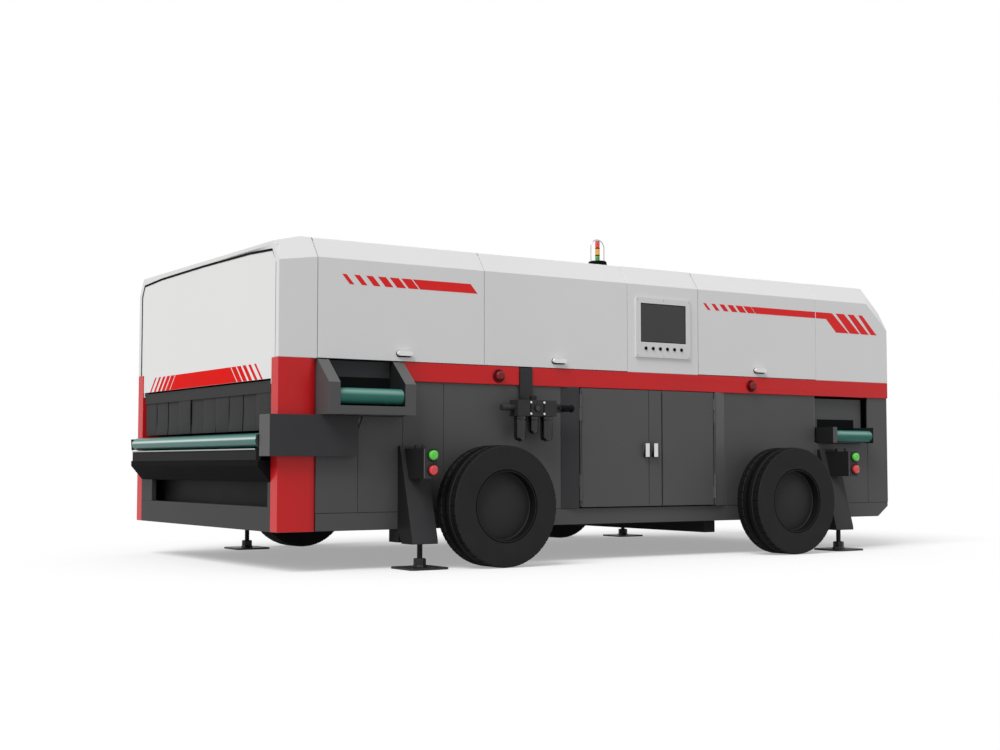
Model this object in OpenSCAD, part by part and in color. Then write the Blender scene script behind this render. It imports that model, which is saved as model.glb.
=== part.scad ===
// Mobile optical colour sorter: a hooded belt machine on wheels and screw jacks.
// +X runs along the machine away from the infeed end, -Y is the operator side, +Z is up.
// The origin is on the floor under the middle of the whole machine. Millimetres.

/* [Body] */
// Length of the body between its end planes
body_l = 4800; // [4760:10:4880]
// Width of the body between its side planes
body_w = 2200; // [2180:10:2240]
// Height of the roof above the floor
roof_h = 1860; // [1850:5:1880]
// Height of the sloped shoulder
shoulder_drop = 120; // [110:5:135]
// How far the shoulder slopes inward
shoulder_in = 85; // [80:1:90]
// Height of the top of the red stripe, where the hood starts
waist_h = 1175; // [1165:5:1185]
// Height of the red stripe
stripe_h = 110; // [100:5:115]
// Height of the top of the base sill
sill_top = 320; // [315:1:325]
// Height of the underside of the base sill
sill_bottom = 220; // [210:5:230]
// Thickness of the fixed hood sheets
hood_sheet = 20; // [18:1:22]
// Thickness of the lower side panels
panel_sheet = 10; // [8:1:10]
// How far the lower side panels sit inside the side plane
panel_inset = 10; // [10:1:12]
// Width of each red corner post along the machine
post_l = 235; // [230:1:240]
// Width of the flat outer face of a corner post
post_face_l = 187; // [175:1:195]
// Depth of a corner post across the machine
post_d = 90; // [88:1:92]
// Depth of the bevel on the inner edge of a corner post
post_bevel = 20; // [15:1:22]

/* [Hood] */
// Width of the front hood door
front_door_w = 1097; // [1080:1:1110]
// Width of the middle hood door
middle_door_w = 1081; // [1065:1:1095]
// Width of the fixed screen panel
screen_panel_w = 591; // [580:1:605]
// Length of the fixed rear corner of the hood
rear_hood_l = 718; // [705:1:735]
// Gap between neighbouring hood panels
seam_gap = 4; // [3:0.5:6]
// Thickness of a hood door
door_sheet = 18; // [15:1:18]
// Length of the sloped visor at the infeed end
visor_l = 159; // [150:1:165]
// Drop of the visor at the infeed end
visor_drop = 38; // [34:1:42]
// Drop of the shoulder edge at the infeed end
shoulder_dip = 32; // [28:1:36]
// Set-back of the slanted end of the roof
tail_l = 174; // [165:1:180]
// Set-back of the slanted end at the side
tail_side_l = 207; // [200:1:215]
// Drop of the slanted end at the side
tail_side_drop = 185; // [175:1:195]
// Length of a hood door handle
handle_l = 95; // [80:1:110]
// Width of a hood door handle
handle_w = 28; // [24:1:32]
// Stand-off of a hood door handle
handle_out = 26; // [20:1:32]

/* [Hinges] */
// Radius of the hinge pins
hinge_pin_r = 4; // [3:0.5:5]
// Radius of the hinge barrels
hinge_barrel_r = 9; // [8.5:0.5:9]
// Radial clearance of every turning or sliding fit
run_clear = 0.05; // [0.02:0.01:0.1]

/* [Cabinet] */
// Distance from the cabinet surround to the rear axle
cabinet_to_axle = 334; // [330:1:338]
// Width of the cabinet surround
cabinet_w = 1338; // [1330:1:1338]
// Width of the bevel beside the left cabinet door
bevel_left_w = 134; // [125:1:140]
// Width of the bevel beside the right cabinet door
bevel_right_w = 107; // [100:1:115]
// How far the cabinet doors stand out from the panels
cabinet_out = 20; // [16:1:22]
// Width of the left cabinet door
cabinet_left_w = 542; // [530:1:550]
// Length of a cabinet door handle
pull_l = 86; // [75:1:100]

/* [Infeed conveyor] */
// How far the infeed belt stands out of the infeed end
nose_out = 80; // [78:1:85]
// Height of the infeed belt at its nose
belt_h = 760; // [755:1:762]
// Outer radius of the belt around its rollers
belt_r = 40; // [38:0.5:40]
// Thickness of the belts
belt_t = 5.6; // [5:0.1:6]
// Gap between a roller and the belt around it
belt_gap = 0.4; // [0.3:0.05:0.5]
// Upward slope of the infeed belt in degrees
belt_slope = 3.7; // [3.5:0.1:3.8]
// Distance from the head roller to the lower cross conveyor
head_gap = 205; // [195:5:245]
// Radius of the roller journals
journal_r = 20; // [16:1:22]
// Height of the lip under the belt nose
lip_h = 64; // [58:1:65]
// Number of curtain strips
strip_count = 10; // [9:1:11]
// Thickness of a curtain strip
strip_t = 5; // [4:0.5:6]
// Radius of the curtain rod
curtain_rod_r = 8; // [7:0.5:8.5]

/* [Cross conveyors] */
// How far the cross conveyors stand out of the side plane
cross_out = 145; // [140:1:150]
// Height of the roller of the upper cross conveyor
upper_z = 967; // [964:1:970]
// Outer belt radius of the upper cross conveyor
upper_r = 45; // [43:0.5:46]
// Height of the roller of the lower cross conveyor
lower_z = 785; // [784:1:787]
// Outer belt radius of the lower cross conveyor
lower_r = 40; // [38:0.5:40]
// Width of a cheek of the upper cross conveyor
upper_cheek_w = 70; // [66:1:74]
// Width of a cheek of the lower cross conveyor
lower_cheek_w = 40; // [36:1:42]
// Radius of the journals of the cross rollers
cross_journal_r = 15; // [12:1:17]

/* [Wheels and jacks] */
// Radius of a tyre
tyre_r = 350; // [345:1:352]
// Width of a tyre
tyre_w = 206; // [200:1:210]
// Radius of a wheel rim
rim_r = 205; // [195:1:210]
// Distance of a wheel's inner face from the middle of the machine
wheel_in = 1214; // [1205:1:1220]
// Distance of the front axle from the infeed end plane
front_axle = 1282; // [1276:1:1290]
// Distance of the rear axle from the other end plane
rear_axle_in = 1229; // [1220:1:1240]
// Radius of the wheel stubs
stub_r = 28; // [25:0.5:29]
// Distance of the front legs from the infeed end plane
front_leg = 835; // [830:1:840]
// Distance of the rear legs from the other end plane
rear_leg_in = 625; // [615:1:630]
// Width of a leg
leg_w = 166; // [160:1:170]
// Radius of a jack rod
jack_r = 16.5; // [14:0.5:18]
// Side of a jack foot plate
foot_side = 250; // [230:5:260]

/* [Controls] */
// Width of a control box
box_w = 85; // [80:1:90]
// Height of a control box
box_h = 170; // [165:1:172]
// How far a control box reaches from the side plane
box_out = 236; // [225:1:240]
// Radius of a push button head
button_r = 27; // [24:1:29]
// Radius of a push button stem
button_stem_r = 14; // [12:0.5:16]
// Radius of a stop head
stop_r = 29; // [26:1:31]
// Radius of a stop stem
stop_stem_r = 12; // [10:0.5:14]
// Width of the screen
screen_w = 375; // [360:1:380]
// Height of the screen
screen_h = 250; // [240:1:255]
// Radius of a monitor key
key_r = 11; // [8:0.5:13]

/* [Air service unit] */
// Width of one air unit body
air_body_w = 88; // [84:1:90]
// Height of one air unit body
air_body_h = 96; // [90:1:100]
// Radius of a long bowl
bowl_r = 37; // [33:1:39]
// Length of a long bowl
bowl_l = 150; // [140:1:152]
// Radius of the regulator knob
knob_r = 22; // [19:1:25]

/* [Signal tower] */
// Radius of the tower lenses
lens_r = 15; // [12:1:18]
// Height of one lens
lens_h = 46; // [40:1:46]
// Half width of the hoop guard
hoop_r = 53; // [46:1:54]
// Height of the hoop guard above the roof
hoop_h = 175; // [175:1:190]

/* [Hidden] */
$fn = 64;
x_in = nose_out - (body_l + nose_out) / 2;
x_out = x_in + body_l;
hw = body_w / 2;
shoulder_h = roof_h - shoulder_drop;
rise = shoulder_drop;
slant = sqrt(rise * rise + shoulder_in * shoulder_in);
// Unit vector pointing into the hood, square to the shoulder
in_y = rise / slant;
in_z = -shoulder_in / slant;
roof_edge = hw - 104;
stripe_bottom = waist_h - stripe_h;
panel_y = hw - panel_inset;
panel_back = panel_y - panel_sheet;
frame_in = hw - 80;
frame_out = panel_back;
rail_out = panel_back;
seam1 = post_l;
seam2 = seam1 + front_door_w;
seam3 = seam2 + middle_door_w;
seam4 = seam3 + screen_panel_w;
seam5 = body_l - rear_hood_l;
rear_door_w = seam5 - seam4;
axis_y = hw - shoulder_in - 7;
axis_z = roof_h - 12;
half_gap = seam_gap / 2;
rear_axle = body_l - rear_axle_in;
rear_leg = body_l - rear_leg_in;
cabinet_to = rear_axle - cabinet_to_axle;
cabinet_from = cabinet_to - cabinet_w;
door_from = cabinet_from + bevel_left_w;
door_to = cabinet_to - bevel_right_w;
door_split = door_from + cabinet_left_w;
door_y = panel_y + cabinet_out;
door_low = sill_top + 6;
door_high = stripe_bottom - 4;
hinge_y = door_y + 2;
nose_z = belt_h - belt_r;
roller_r = belt_r - belt_t - belt_gap;
cross_y = hw + cross_out - 50;
upper_from = seam1;
upper_to = seam1 + 547;
lower_from = body_l - 705;
lower_to = body_l - 267;
belt_run = lower_from - head_gap;
upper_floor = upper_z - 104;
lower_floor = lower_z - 46;
lower_top = lower_z + 62;
inner_bar_y = hw - 70;
leg_top = 693;
leg_foot = 141;
leg_face_top = panel_y + 25;
leg_face_low = panel_y + 170;
leg_lean = (leg_face_low - leg_face_top) / (leg_top - leg_foot - 20);
jack_y = panel_y + 109;
box_low = 509;
button_y = hw + box_out;
wheel_z = tyre_r;
axle_z = tyre_r;
air_x = cabinet_from - 270;
air_z = waist_h - 299;
air_y = hw + 80;
tower_x = seam3 - 107;
tower_y = hw - 170;
air_pitch = 96;
box_front = front_leg - 12.5;
box_rear = rear_leg + 8.5;
stop_front = air_x - 196;
stop_rear = rear_axle - 103;
stop_z = waist_h - 59;
screen_x = (seam3 + seam4) / 2 - 8;
bezel_half = 227;
screen_top = roof_h - 239;
panel_low = waist_h - 115;
curtain_x = 17;
curtain_z = panel_low - 15;
lip_low = belt_h - 148;
hopper_low = lip_low - 120;
strip_low = belt_h + 18;
cover_low = nose_z - 87;
cover_high = belt_h + 101;
frame_bar_top = sill_top + 35;
inner = hw - post_d;
lamp_low = roof_h - 385;
lamp_high = roof_h - 300;
front_seam = front_axle - 226;
rear_seam = body_l - 204;
notch_x = 496;
under_from = rear_axle - 471;
under_h = 78;
notch_w = 64;
notch_h = 84;
air_fit = 178;
pull_z = 680;
// Gap that keeps touching solids of one piece apart
apart = 0.05;

// Distance from the infeed end plane to a place along the machine
function ex(d) = x_in + d;
// Depth of the sloped front face of a leg at a height
function leg_face(z) = -leg_face_top - leg_lean * (leg_top - z);

// Block between two corners
module block(x0, x1, y0, y1, z0, z1)
{
    translate([x0, y0, z0])
        cube([x1 - x0, y1 - y0, z1 - z0]);
}

// Beam between two corners, kept a hair apart from the beams it meets
module beam(x0, x1, y0, y1, z0, z1)
{
    h = apart / 2;
    block(x0 + h, x1 - h, y0 + h, y1 - h, z0 + h, z1 - h);
}

// Outline drawn across the machine, run along +X
module along_x(x0, len)
{
    translate([x0, 0, 0])
        rotate([90, 0, 90])
            linear_extrude(len)
                children();
}

// Outline drawn along the machine, run along +Y
module along_y(y0, len)
{
    translate([0, y0 + len, 0])
        rotate([90, 0, 0])
            linear_extrude(len)
                children();
}

// The same piece on both sides of the machine
module both_sides()
{
    children();
    mirror([0, 1, 0])
        children();
}

// Round bar along +X
module bar_x(x0, len, y, z, r)
{
    translate([x0, y, z])
        rotate([0, 90, 0])
            cylinder(r = r, h = len);
}

// Round bar along +Y
module bar_y(x, y0, len, z, r)
{
    translate([x, y0, z])
        rotate([-90, 0, 0])
            cylinder(r = r, h = len);
}

// Everything above a plane through a point, with the given upward direction
module above(p, up)
{
    n = up / norm(up);
    translate(p)
        rotate(a = acos(n[2]), v = [-n[1], n[0], 0])
            translate([-1500, -1500, 0])
                cube([3000, 3000, 1500]);
}

// Section of a fixed hood sheet on the operator side
module sheet_section(low)
{
    drop = hood_sheet * slant / shoulder_in;
    slope = rise / shoulder_in;
    knee = shoulder_h - drop + hood_sheet * slope;
    flange = roof_h - 12;
    polygon([[-hw, low], [-hw, shoulder_h], [shoulder_in - hw, roof_h], [-roof_edge, roof_h],
        [-roof_edge, flange], [(flange - shoulder_h + drop) / slope - hw, flange],
        [hood_sheet - hw, knee], [hood_sheet - hw, low]]);
}

// Section of a lift-up hood door on the operator side
module door_section(low)
{
    slope = rise / shoulder_in;
    top_z = roof_h - 18;
    top_y = (top_z - shoulder_h) / slope - hw;
    drop = door_sheet * slant / shoulder_in;
    polygon([[-hw, low], [-hw, shoulder_h], [top_y, top_z],
        [top_y + door_sheet * in_y, top_z + door_sheet * in_z],
        [door_sheet - hw, shoulder_h - drop + door_sheet * slope], [door_sheet - hw, low]]);
}

// Strip that joins a hood door to its hinge barrel
module hood_leaf_section()
{
    slope = rise / shoulder_in;
    top_z = roof_h - 24;
    top_y = (top_z - shoulder_h) / slope - hw + 9 * in_y;
    polygon([[-axis_y - 4 * in_y, axis_z - 4 * in_z], [-axis_y + 4 * in_y, axis_z + 4 * in_z],
        [top_y + 4 * in_y, top_z + 9 * in_z + 4 * in_z], [top_y - 4 * in_y, top_z + 9 * in_z - 4 * in_z]]);
}

// Starting places of the three moving barrels of a hood door
function barrel_places(w) = [0.1 * w, 0.5 * w - 40, 0.9 * w - 80];

// Lift-up hood door with hinge barrels and a capsule handle
module hood_door(from, w)
{
    difference() {
        union() {
            along_x(ex(from + half_gap), w - seam_gap)
                door_section(waist_h + 4);
            for (s = barrel_places(w)) {
                along_x(ex(from + s), 80)
                    hood_leaf_section();
                bar_x(ex(from + s), 80, -axis_y, axis_z, hinge_barrel_r);
            }
        }
        for (s = barrel_places(w))
            bar_x(ex(from + s) - 5, 90, -axis_y, axis_z, hinge_pin_r + run_clear);
    }
    along_y(-hw - handle_out, handle_out - apart)
        hull_free_capsule(ex(from + w / 2), waist_h + 48, handle_l, handle_w);
}

// Flat capsule outline lying along its length
module hull_free_capsule(x, z, len, w)
{
    translate([x, z])
        square([len - w, w], center = true);
    for (s = [-1, 1])
        translate([x + s * (len - w) / 2, z])
            circle(r = w / 2);
}

// Belt loop outline around two rollers on one line
module loop_outline(run, r)
{
    circle(r = r);
    translate([run, 0])
        circle(r = r);
    translate([0, -r])
        square([run, 2 * r]);
}

module belt_outline(run, r)
{
    difference() {
        loop_outline(run, r);
        loop_outline(run, r - belt_t);
    }
}

// Frame of the sloping infeed belt, starting at its nose roller
module on_slope()
{
    translate([ex(belt_r - nose_out), 0, nose_z])
        rotate([0, -belt_slope, 0])
            children();
}

module chassis_frame()
{
    side = panel_y - 102;
    color([0.24, 0.24, 0.25]) {
        both_sides()
            along_y(-panel_y + 2, 100)
                polygon([[ex(post_l), sill_bottom], [x_out - 100, sill_bottom], [x_out, sill_bottom + 72],
                    [x_out, sill_top], [ex(post_l), sill_top]]);
        for (d = [post_l + 5, front_axle - 50, (front_axle + rear_axle - 93) / 2, rear_axle - 50,
            body_l - 200])
            beam(ex(d), ex(d + 90), -side, side, sill_bottom, sill_top - 6);
        beam(ex(32), x_out - 40, -side, side, sill_top - 6, sill_top);
        beam(ex(under_from), ex(under_from + 90), -side - 50, side + 50, sill_bottom - under_h, sill_bottom);
    }
}

module inner_frame()
{
    color([0.35, 0.36, 0.38]) {
        both_sides() {
            beam(ex(post_l + 5), ex(post_l + 65), -frame_out, -frame_in, sill_top, upper_floor - 60);
            beam(ex(post_l + 5), ex(upper_to + 18), -frame_out, -frame_in, upper_floor - 60, upper_floor);
            for (d = [upper_to + 18, cabinet_from - 62, cabinet_to + 3, lower_from - 73, body_l - 90])
                beam(ex(d), ex(d + 60), -frame_out, -frame_in, sill_top, waist_h - 90);
            beam(ex(lower_from - 13), x_out - 90, -frame_out, -frame_in, lower_floor - 60, lower_floor);
            beam(ex(upper_to + 18), x_out - 12, -rail_out, -frame_in, waist_h - 90, waist_h);
            for (d = [seam1, seam2, seam3, seam4, seam5]) {
                beam(ex(d - 25), ex(d + 25), -frame_out, -frame_in, waist_h, roof_h - 200);
                beam(ex(d - 25), ex(d + 25), -frame_out, -hw + 170, roof_h - 200, roof_h - 160);
                beam(ex(d - 25), ex(d + 25), -hw + 120, -hw + 170, roof_h - 160, roof_h - 70);
            }
            beam(ex(visor_l + 1), x_out - tail_l, -hw + 120, -hw + 170, roof_h - 70, roof_h - 10);
        }
        for (d = [seam3 + 206, seam3 + 466])
            beam(ex(d), ex(d + 60), -hw + 170, hw - 170, roof_h - 70, roof_h - 10);
        beam(ex(post_l), ex(upper_to + 18), frame_in, rail_out, waist_h - 90, waist_h);
    }
}

module roof_panel()
{
    color([0.86, 0.86, 0.86])
        block(ex(visor_l), x_out - tail_l, -roof_edge, roof_edge, roof_h - 10, roof_h);
}

// Cuts that shape the sloped corner at the infeed end of the hood
module visor_cuts()
{
    above([ex(visor_l), 0, roof_h], [-visor_drop, 0, visor_l]);
    both_sides()
        above([ex(post_l), -hw, shoulder_h],
            cross([visor_l - post_l, shoulder_in, rise], [-post_l, 0, -shoulder_dip]));
}

module front_hood()
{
    color([0.86, 0.86, 0.86]) {
        both_sides()
            difference() {
                union() {
                    along_x(ex(20), post_l - 20 - half_gap)
                        sheet_section(waist_h);
                    along_x(ex(20), 185)
                        polygon([[-hw + 1, roof_h - 240], [-hw + 1, shoulder_h],
                            [shoulder_in - hw + 1, roof_h - 1], [-roof_edge, roof_h - 1],
                            [-roof_edge, roof_h - 200], [-hw + 60, roof_h - 260]]);
                    block(ex(0), ex(20), -hw, -hw + 40, waist_h, roof_h - 60);
                }
                visor_cuts();
            }
        difference() {
            union() {
                block(ex(0), ex(20), -hw + 40, hw - 40, roof_h - 63, roof_h);
                along_y(-roof_edge, 2 * roof_edge)
                    polygon([[ex(visor_l), roof_h], [ex(20), roof_h], [ex(20), roof_h - 60],
                        [ex(visor_l), roof_h - 20]]);
            }
            visor_cuts();
        }
    }
}

// Cuts that shape the slanted far end of the hood
module tail_cuts()
{
    above([x_out - tail_l, 0, roof_h], [1, 0, 1]);
    both_sides()
        above([x_out - tail_side_l, -hw, shoulder_h],
            cross([tail_side_l, 0, -tail_side_drop], [tail_side_l - tail_l, shoulder_in, rise]));
}

module rear_hood()
{
    color([0.86, 0.86, 0.86]) {
        both_sides()
            difference() {
                union() {
                    along_x(ex(seam5 + half_gap), x_out - ex(seam5 + half_gap))
                        sheet_section(waist_h);
                    along_x(x_out - 300, 300)
                        polygon([[-hw + 1, roof_h - 380], [-hw + 1, shoulder_h],
                            [shoulder_in - hw + 1, roof_h - 1], [-roof_edge, roof_h - 1],
                            [-roof_edge, roof_h - 380]]);
                    block(x_out - hood_sheet, x_out, -hw + 1, -roof_edge, waist_h, roof_h - 379);
                }
                tail_cuts();
            }
        along_y(-roof_edge, 2 * roof_edge)
            polygon([[x_out - tail_l, roof_h], [x_out, roof_h - tail_l], [x_out, waist_h],
                [x_out - hood_sheet, waist_h], [x_out - hood_sheet, roof_h - tail_l - 8],
                [x_out - tail_l, roof_h - hood_sheet - 8]]);
    }
}

// Outline of the infeed end panel, stepped in between the corner posts
module end_panel_outline()
{
    step_y = inner - 1;
    step_z = waist_h + apart;
    edge = hw - 48;
    corner = hw - 92;
    polygon([[-step_y, panel_low], [step_y, panel_low], [step_y, step_z], [edge, step_z],
        [edge, roof_h - 160], [corner, roof_h - 90], [hw - 400, roof_h - 76], [0, roof_h - 71],
        [400 - hw, roof_h - 76], [-corner, roof_h - 90], [-edge, roof_h - 160], [-edge, step_z],
        [-step_y, step_z]]);
}

module infeed_end_panel()
{
    color([0.88, 0.88, 0.88]) {
        difference() {
            union() {
                along_x(ex(4), 16)
                    end_panel_outline();
                for (s = [-1, 1])
                    translate([0, s * (inner - 10), 0])
                        block(ex(4), ex(34), -5, 5, panel_low - 30, panel_low + 5);
            }
            bar_y(ex(curtain_x), -inner, 2 * inner, curtain_z, curtain_rod_r + run_clear);
        }
    }
}

module corner_posts()
{
    color([0.72, 0.13, 0.15])
        both_sides()
            translate([0, 0, sill_bottom])
                linear_extrude(waist_h - sill_bottom)
                    polygon([[x_in, -hw], [ex(post_face_l), -hw], [ex(post_l), post_bevel - hw],
                        [ex(post_l), post_d - hw], [x_in, post_d - hw]]);
}

module waist_stripes()
{
    color([0.78, 0.2, 0.21]) {
        difference() {
            union() {
                block(ex(upper_to + 2), ex(air_x - 47), -hw, -rail_out, stripe_bottom, waist_h);
                block(ex(air_x + 47), x_out, -hw, -rail_out, stripe_bottom, waist_h);
            }
            for (d = [stop_front, stop_rear])
                bar_y(ex(d), -hw - 1, hw - rail_out + 2, stop_z, stop_stem_r + run_clear);
        }
        block(ex(post_l), x_out, rail_out, hw, stripe_bottom, waist_h);
        block(x_out - 12, x_out - apart, -rail_out + apart, rail_out - apart, stripe_bottom, waist_h);
    }
}

module side_panel(d0, d1, z1)
{
    block(ex(d0), ex(d1), -panel_y, -panel_back, sill_top, z1);
}

module lower_panels()
{
    color([0.27, 0.27, 0.28]) {
        difference() {
            union() {
                side_panel(post_l, notch_x - 1, upper_floor - 3);
                side_panel(notch_x + 1, upper_to + 1, upper_floor - 3);
            }
            along_y(-hw, 60)
                polygon([[ex(notch_x - notch_w / 2), upper_floor], [ex(notch_x), upper_floor - notch_h],
                    [ex(notch_x + notch_w / 2), upper_floor]]);
        }
        side_panel(upper_to + 3, front_seam - 1, stripe_bottom);
        difference() {
            side_panel(front_seam + 2, cabinet_from - 2, stripe_bottom);
            bar_y(ex(front_axle), -hw, 60, axle_z, stub_r + 6);
        }
        translate([0, 0, sill_top])
            linear_extrude(stripe_bottom - sill_top) {
                polygon([[ex(cabinet_from), -panel_y], [ex(door_from - 10), -door_y],
                    [ex(door_from - 10), -panel_back], [ex(cabinet_from), -panel_back]]);
                polygon([[ex(door_to + 10), -door_y], [ex(cabinet_to), -panel_y],
                    [ex(cabinet_to), -panel_back], [ex(door_to + 10), -panel_back]]);
            }
        difference() {
            side_panel(cabinet_to + 2, lower_from - 28, stripe_bottom);
            bar_y(ex(rear_axle), -hw, 60, axle_z, stub_r + 6);
        }
        side_panel(lower_from - 25, rear_seam - 1, lower_floor - 4);
        block(ex(rear_seam + 2), x_out - 13, -panel_y, -panel_back, sill_top, stripe_bottom);
        mirror([0, 1, 0]) {
            side_panel(post_l, front_seam - 1, stripe_bottom);
            difference() {
                side_panel(front_seam + 2, cabinet_from - 2, stripe_bottom);
                bar_y(ex(front_axle), -hw, 60, axle_z, stub_r + 6);
            }
            side_panel(cabinet_from, cabinet_to, stripe_bottom);
            difference() {
                side_panel(cabinet_to + 2, lower_from - 28, stripe_bottom);
                bar_y(ex(rear_axle), -hw, 60, axle_z, stub_r + 6);
            }
            side_panel(lower_from - 25, body_l - 13, stripe_bottom);
        }
        block(x_out - 12, x_out, -panel_y, panel_y, sill_top, stripe_bottom - apart);
    }
}

module infeed_lower_frame()
{
    color([0.3, 0.3, 0.31]) {
        block(ex(0), ex(30), -inner, inner, sill_bottom, frame_bar_top);
        block(ex(0), ex(30), -inner, -inner + 35, frame_bar_top + apart, hopper_low);
        block(ex(0), ex(30), inner - 190, inner, frame_bar_top + apart, hopper_low);
        block(ex(100), ex(110), -inner, inner, sill_top, hopper_low);
    }
}

module far_hood_panels()
{
    color([0.86, 0.86, 0.86])
        mirror([0, 1, 0])
            for (p = [[seam1, seam2], [seam2, seam3], [seam3, seam4], [seam4, seam5]])
                along_x(ex(p[0] + half_gap), p[1] - p[0] - seam_gap)
                    sheet_section(waist_h);
}

module screen_panel()
{
    color([0.84, 0.84, 0.84])
        along_x(ex(seam3 + half_gap), screen_panel_w - seam_gap)
            sheet_section(waist_h);
}

// Block the size of the screen, from its floor out to the given depth
module screen_block(y0)
{
    translate([ex(screen_x - screen_w / 2), y0, screen_top - screen_h])
        cube([screen_w, -hw - 5 - y0, screen_h]);
}

module monitor()
{
    color([0.74, 0.74, 0.75]) {
        difference() {
            block(ex(screen_x - bezel_half), ex(screen_x + bezel_half), -hw - 12, -hw, screen_top - 347,
                screen_top + 36);
            screen_block(-hw - 13);
        }
        for (i = [0:5])
            bar_y(ex(screen_x - 148 + i * 59.2), -hw - 17, 5 - apart, screen_top - 290, key_r);
    }
}

module screen_glass()
{
    color([0.08, 0.09, 0.1])
        screen_block(-hw - 10);
}

module axles()
{
    color([0.2, 0.2, 0.21])
        for (d = [front_axle, rear_axle]) {
            block(ex(d - 50), ex(d + 50), -panel_back, panel_back, sill_top, axle_z + 30);
            bar_y(ex(d), -wheel_in - 164, 2 * wheel_in + 328, axle_z, stub_r);
        }
}

module jack_leg(d)
{
    difference() {
        along_x(ex(d - leg_w / 2), leg_w)
            polygon([[-panel_y, leg_top], [-leg_face_top, leg_top], [-leg_face_low, leg_foot + 20],
                [-leg_face_low, leg_foot], [48 - leg_face_low + 74, leg_foot], [-panel_y, sill_bottom]]);
        translate([ex(d), -jack_y, leg_foot - 1])
            cylinder(r = jack_r + run_clear, h = 160);
    }
}

module jack_legs()
{
    color([0.27, 0.27, 0.28])
        both_sides() {
            jack_leg(front_leg);
            jack_leg(rear_leg);
        }
}

module infeed_frame()
{
    color([0.3, 0.3, 0.31]) {
        both_sides()
            on_slope()
                difference() {
                    union() {
                        block(4 - belt_r, belt_run + 60, apart - inner, 20 - inner, -36, 36);
                        block(belt_run / 2 - 45, belt_run / 2 - 15, -frame_in, 1 - inner, -20, 20);
                    }
                    for (d = [0, belt_run])
                        bar_y(d, -inner - 1, 22, 0, journal_r + run_clear);
                }
        on_slope()
            block(60, belt_run - 60, 20 - inner, inner - 20, 24, belt_r - belt_t);
        along_y(apart - inner, 2 * (inner - apart))
            polygon([[ex(5 - nose_out), lip_low], [ex(5 - nose_out), lip_low - 32],
                [ex(0), hopper_low + apart], [ex(99), hopper_low + apart], [ex(99), lip_low]]);
        block(ex(5 - nose_out), ex(35 - nose_out), 26 - inner, inner - 26, lip_low - 1, lip_low + lip_h);
    }
}

module infeed_belt()
{
    color([0.24, 0.47, 0.43])
        on_slope()
            along_y(26 - inner, 2 * inner - 52)
                belt_outline(belt_run, belt_r);
}

module infeed_roller(d)
{
    color([0.6, 0.61, 0.62])
        on_slope() {
            bar_y(d, 23 - inner, 2 * inner - 46, 0, roller_r);
            bar_y(d, 2 - inner, 2 * inner - 4, 0, journal_r);
        }
}

module infeed_nose_roller()
{
    infeed_roller(0);
}

module infeed_head_roller()
{
    infeed_roller(belt_run);
}

module infeed_drive_cover()
{
    color([0.27, 0.27, 0.28]) {
        block(ex(-70), ex(0), -hw - 50, -hw + 86, cover_low, cover_high);
        block(ex(-1), ex(467), -hw - 50, -hw, cover_low, cover_high);
    }
}

// Belt, bed and fixed inner bar of a cross conveyor share these outlines across the machine
module cross_loop(z, r)
{
    translate([-cross_y, z])
        belt_outline(cross_y + inner_bar_y, r);
}

// Roller of a cross conveyor with its journals
module cross_roller(d0, d1, z, r)
{
    bar_x(ex(d0 + 2), d1 - d0 - 4, -cross_y, z, r - belt_t - belt_gap);
    bar_x(ex(d0 - 12), d1 - d0 + 24, -cross_y, z, cross_journal_r);
}

// Bed and inner bar of a cross conveyor
module cross_bed(d0, d1, z, r)
{
    along_x(ex(d0), d1 - d0) {
        translate([-cross_y + 50, z + 20])
            square([cross_y + inner_bar_y - 100, r - belt_t - 20]);
        translate([inner_bar_y, z])
            circle(r = r - belt_t - belt_gap);
    }
}

// Bores in the cheeks for the journals of a cross roller
module cross_bores(d0, d1, z)
{
    bar_x(ex(d0 - 14), d1 - d0 + 28, -cross_y, z, cross_journal_r + run_clear);
}

module upper_cross_frame()
{
    front = hw + cross_out;
    a = ex(upper_from + 1);
    b = ex(upper_to - 1);
    roller_from = upper_from + upper_cheek_w;
    roller_to = upper_to - upper_cheek_w;
    color([0.3, 0.3, 0.31]) {
        difference() {
            union() {
                for (d = [upper_from, upper_to - upper_cheek_w])
                    along_x(ex(d), upper_cheek_w)
                        polygon([[-front, upper_floor], [-front, upper_z + 72], [-hw, waist_h - 3],
                            [60 - hw, waist_h - 3], [60 - hw, upper_z + 63], [hw - 25, upper_z + 63],
                            [hw - 25, upper_floor]]);
                block(a, b, -front, 30 - front, upper_floor + 2, upper_floor + 49);
                block(a, b, 29 - front, hw - 25, upper_floor, upper_floor + 12);
                block(a, b, 40 - hw, 50 - hw, upper_z + 85, waist_h - 3);
                cross_bed(roller_from - 1, roller_to + 1, upper_z, upper_r);
            }
            cross_bores(roller_from, roller_to, upper_z);
        }
    }
}

module upper_cross_belt()
{
    color([0.24, 0.45, 0.4])
        along_x(ex(upper_from + upper_cheek_w + 3), upper_to - upper_from - 2 * upper_cheek_w - 6)
            cross_loop(upper_z, upper_r);
}

module upper_cross_roller()
{
    color([0.6, 0.61, 0.62])
        cross_roller(upper_from + upper_cheek_w, upper_to - upper_cheek_w, upper_z, upper_r);
}

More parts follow.
